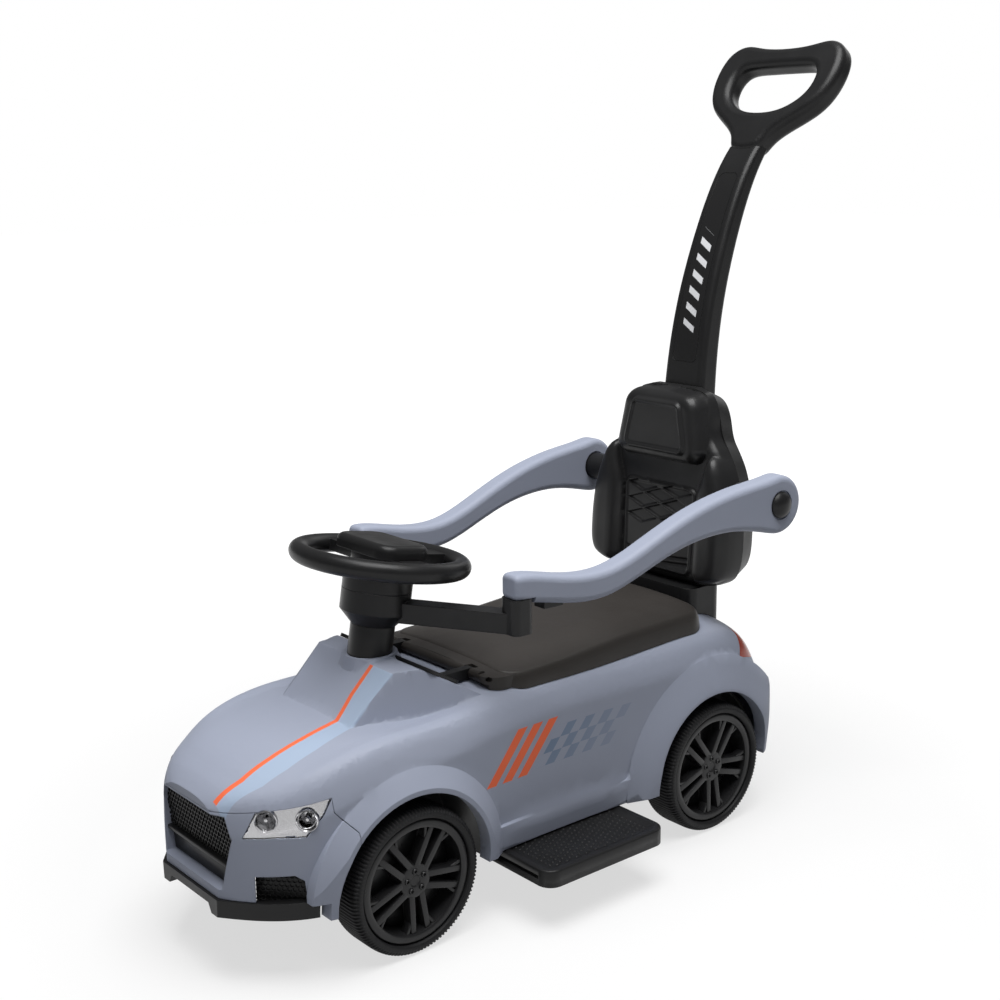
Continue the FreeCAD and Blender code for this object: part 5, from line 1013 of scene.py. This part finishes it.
class PUSHCAR_OT_grille(bpy.types.Operator):
    """Fine honeycomb grille with a ridge and a plain lower panel, and the two corner intakes"""
    bl_idname = "pushcar.grille"
    bl_label = "Grille and intakes"

    def execute(self, context):
        sizes = context.scene.pushcar_sizes
        pitch, bar = sizes.cell_pitch, sizes.cell_bar
        low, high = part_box("grille_insert")
        half, tall = high.x, high.z - low.z
        face, back = low.y + MESH_INSET, high.y
        top_half, mid_z, low_half = half - 0.008, low.z + tall * 0.712, half - 0.011
        ridge = low.z + tall * 0.286
        outline = [(-top_half, high.z), (top_half, high.z), (half, mid_z), (low_half, low.z), (-low_half, low.z),
                   (-half, mid_z)]
        ridge_half = low_half + (half - low_half) * (ridge - low.z) / (mid_z - low.z)
        upper = outline[:3] + [(ridge_half, ridge), (-ridge_half, ridge)] + outline[5:]
        sheet = honeycomb(half * 2, tall * 1.5, pitch, bar)
        bmesh.ops.translate(sheet, vec=(0, 0, (high.z + ridge) / 2), verts=sheet.verts)
        trimmed(sheet, upper)
        thickened(sheet, (0, MESH_THICK, 0))
        shape = moved(sheet, Matrix.Translation((0, face, 0)))
        frame_ring = ring_plate(upper, FRAME_WIDE, FRAME_THICK)
        backing = plate([(x, 0, z) for x, z in outline], (0, BACKING_THICK, 0))
        lower = plate([(x, 0, z) for x, z in ((-ridge_half, ridge), (ridge_half, ridge), outline[3], outline[4])],
                      (0, FRAME_THICK, 0))
        rounded(lower, lower.edges, LOWER_ROUND)
        bead = block((-ridge_half, low.y, ridge - 0.0005), (ridge_half, back - 0.001, ridge + 0.0042))
        rounded(bead, bead.edges, BEAD_ROUND, 3)
        joined(shape, moved(frame_ring, Matrix.Translation((0, face - FRAME_PROUD, 0))),
               moved(backing, Matrix.Translation((0, back - BACKING_THICK, 0))),
               moved(lower, Matrix.Translation((0, face + LOWER_SET, 0))), bead)
        dressed(new_object("honeycomb_grille", outward(shape)), "satin_black", "black_plastic", "car_body",
                "grille_insert")
        for side, sign in SIDES:
            name = f"intake_insert_{side}"
            low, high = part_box(name)
            turn = Matrix.Rotation(sign * math.radians(INTAKE_YAW), 4, "Z")
            outline, front = facing(name, turn)
            wide, tall = high.x - low.x, high.z - low.z
            floor_z, inner = low.z + 0.001, min(sign * x for x, z in outline) + 0.001
            outline = [(x - sign * INTAKE_INWARD * (sign * x < inner), z - INTAKE_DOWN * (z < floor_z))
                       for x, z in outline]
            centre = (sum(x for x, z in outline) / len(outline), (low.z + high.z) / 2)
            sheet = honeycomb(wide * 2.4, tall * 1.6, pitch, bar)
            moved(sheet, Matrix.Translation((centre[0], 0, centre[1])))
            shape = thickened(trimmed(sheet, outline), (0, INTAKE_MESH, 0))
            backing = plate([(x, 0, z) for x, z in outline], (0, BACKING_THICK, 0))
            moved(backing, Matrix.Translation((0, INTAKE_MESH - BACKING_THICK, 0)))
            joined(shape, ring_plate(outline, INTAKE_WIDE, INTAKE_THICK), backing)
            moved(shape, turn @ Matrix.Translation((0, front, 0)))
            dressed(new_object(f"honeycomb_intake_{side}", outward(shape)), "satin_black", "black_plastic", "car_body",
                    name)
        return {"FINISHED"}


def ahead_of(name, turn):
    """A function that gives a node's nearest place along a turned view at an (x, z) point."""
    tree = surface(name, turn)

    def depth(x, z):
        hit = tree.ray_cast(Vector((x, -1.0, z)), Vector((0, 1, 0)))[0]
        return hit.y if hit else None

    return depth


LAMP_CENTRE, LAMP_YAW = (0.098, -0.380, 0.165), 48
BOWL_RING, BOWL_GAP, BOWL_DEEP, BOWL_STEPS = 0.0104, 0.038, 0.009, 9


def with_bowl(name, turn, place, radius, deep):
    """A merged copy of a node's mesh with a round bowl pressed into its turned face at an (x, z) place."""
    part = moved(merged(name), turn.inverted())
    for count in range(-BOWL_STEPS, BOWL_STEPS + 1):
        shift = count * radius / (BOWL_STEPS - 1)
        cut(part, (place[0] + shift, 0, 0), (1, 0, 0))
        cut(part, (0, 0, place[1] + shift), (0, 0, 1))
    for vert in part.verts:
        share = math.hypot(vert.co.x - place[0], vert.co.z - place[1]) / radius
        vert.co.y += deep * (1 - min(share, 1.0) ** 2)
    bmesh.ops.triangulate(part, faces=part.faces)
    return outward(moved(part, turn))


class PUSHCAR_OT_lamps(bpy.types.Operator):
    """Headlamp dishes with a second bowl, and the rings and bulbs of both bowls"""
    bl_idname = "pushcar.lamps"
    bl_label = "Headlamps"

    def execute(self, context):
        ring = BOWL_RING
        for side, sign in SIDES:
            name = f"headlight_reflector_{side}"
            turn = Matrix.Rotation(sign * math.radians(LAMP_YAW), 4, "Z")
            depth = ahead_of(name, turn)
            centre = turn.inverted() @ Vector((sign * LAMP_CENTRE[0], *LAMP_CENTRE[1:]))
            shape = bmesh.new()
            for offset in (-BOWL_GAP / 2, BOWL_GAP / 2):
                x = centre.x + sign * offset
                near = [depth(x + ring * math.cos(step), centre.z + ring * math.sin(step))
                        for step in (0.6, 2.5, 3.8, 5.6)]
                front = min(place for place in near if place is not None)
                bezel = lathe([(0.0, ring + 0.0008), (-0.0011, ring + 0.0004), (-0.0013, ring - 0.0002),
                               (-0.0004, ring - 0.0012), (0.003, ring - 0.0020), (0.004, ring + 0.0008)], 48)
                bulb = lathe([(0.0010, 0.0), (0.0016, 0.0016), (0.0034, 0.0027), (0.0060, 0.0030), (0.0100, 0.0034),
                              (0.0100, 0.0)], 24, closed=False)
                stand = Matrix.Translation((x, front, centre.z)) @ Matrix.Rotation(math.pi / 2, 4, "Z")
                joined(shape, moved(bezel, stand), moved(bulb, stand))
            moved(shape, turn)
            dressed(new_object(f"lamp_rings_{side}", outward(shape), 30), "lamp_chrome", "reflector", "car_body")
            inner = (centre.x - sign * BOWL_GAP / 2, centre.z)
            shape = with_bowl(name, turn, inner, ring - 0.0008, BOWL_DEEP)
            dressed(new_object(f"lamp_bowls_{side}", shape, 30), "lamp_chrome", "reflector", "car_body", name)
        return {"FINISHED"}


DOME_STEPS, DOME_SHARE = 8, 0.86


class PUSHCAR_OT_knobs(bpy.types.Operator):
    """Domed caps on the guard pivots"""
    bl_idname = "pushcar.knobs"
    bl_label = "Guard knobs"

    def execute(self, context):
        for side, sign in SIDES:
            name = f"guard_knob_{side}"
            low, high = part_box(name)
            radius, deep = (high.z - low.z) / 2, high.x - low.x
            turns = [step * math.pi / 2 / DOME_STEPS for step in range(DOME_STEPS)]
            dome = [(deep - deep * math.cos(turn), radius * math.sin(turn)) for turn in turns]
            shape = lathe(dome + [(deep * DOME_SHARE, radius), (deep, radius), (deep, 0)], 48, closed=False)
            on_face(shape, name, sign, name)
            dressed(new_object(f"domed_knob_{side}", shape, 40), "satin_black", "black_plastic", f"guard_{side}", name)
        return {"FINISHED"}


class PUSHCAR_PT_panel(bpy.types.Panel):
    """Lists the car's pieces"""
    bl_label = "Push car"
    bl_idname = "PUSHCAR_PT_panel"
    bl_space_type = "VIEW_3D"
    bl_region_type = "UI"
    bl_category = "Push car"

    def draw(self, context):
        for step in STEPS:
            self.layout.operator(step.bl_idname)


STEPS = (PUSHCAR_OT_stage, PUSHCAR_OT_carried, PUSHCAR_OT_tyres, PUSHCAR_OT_rims, PUSHCAR_OT_backrest,
         PUSHCAR_OT_bonnet, PUSHCAR_OT_seat, PUSHCAR_OT_footrests, PUSHCAR_OT_grille, PUSHCAR_OT_lamps,
         PUSHCAR_OT_knobs)
CLASSES = (CarFinish, CarSizes, PUSHCAR_PT_panel) + STEPS


def register():
    for item in CLASSES:
        bpy.utils.register_class(item)
    bpy.types.Scene.pushcar_finish = PointerProperty(type=CarFinish)
    bpy.types.Scene.pushcar_sizes = PointerProperty(type=CarSizes)


def unregister():
    del bpy.types.Scene.pushcar_finish
    del bpy.types.Scene.pushcar_sizes
    for item in reversed(CLASSES):
        bpy.utils.unregister_class(item)


def main():
    register()
    for step in STEPS:
        group, name = step.bl_idname.split(".")
        getattr(getattr(bpy.ops, group), name)()


if __name__ == "__main__":
    main()
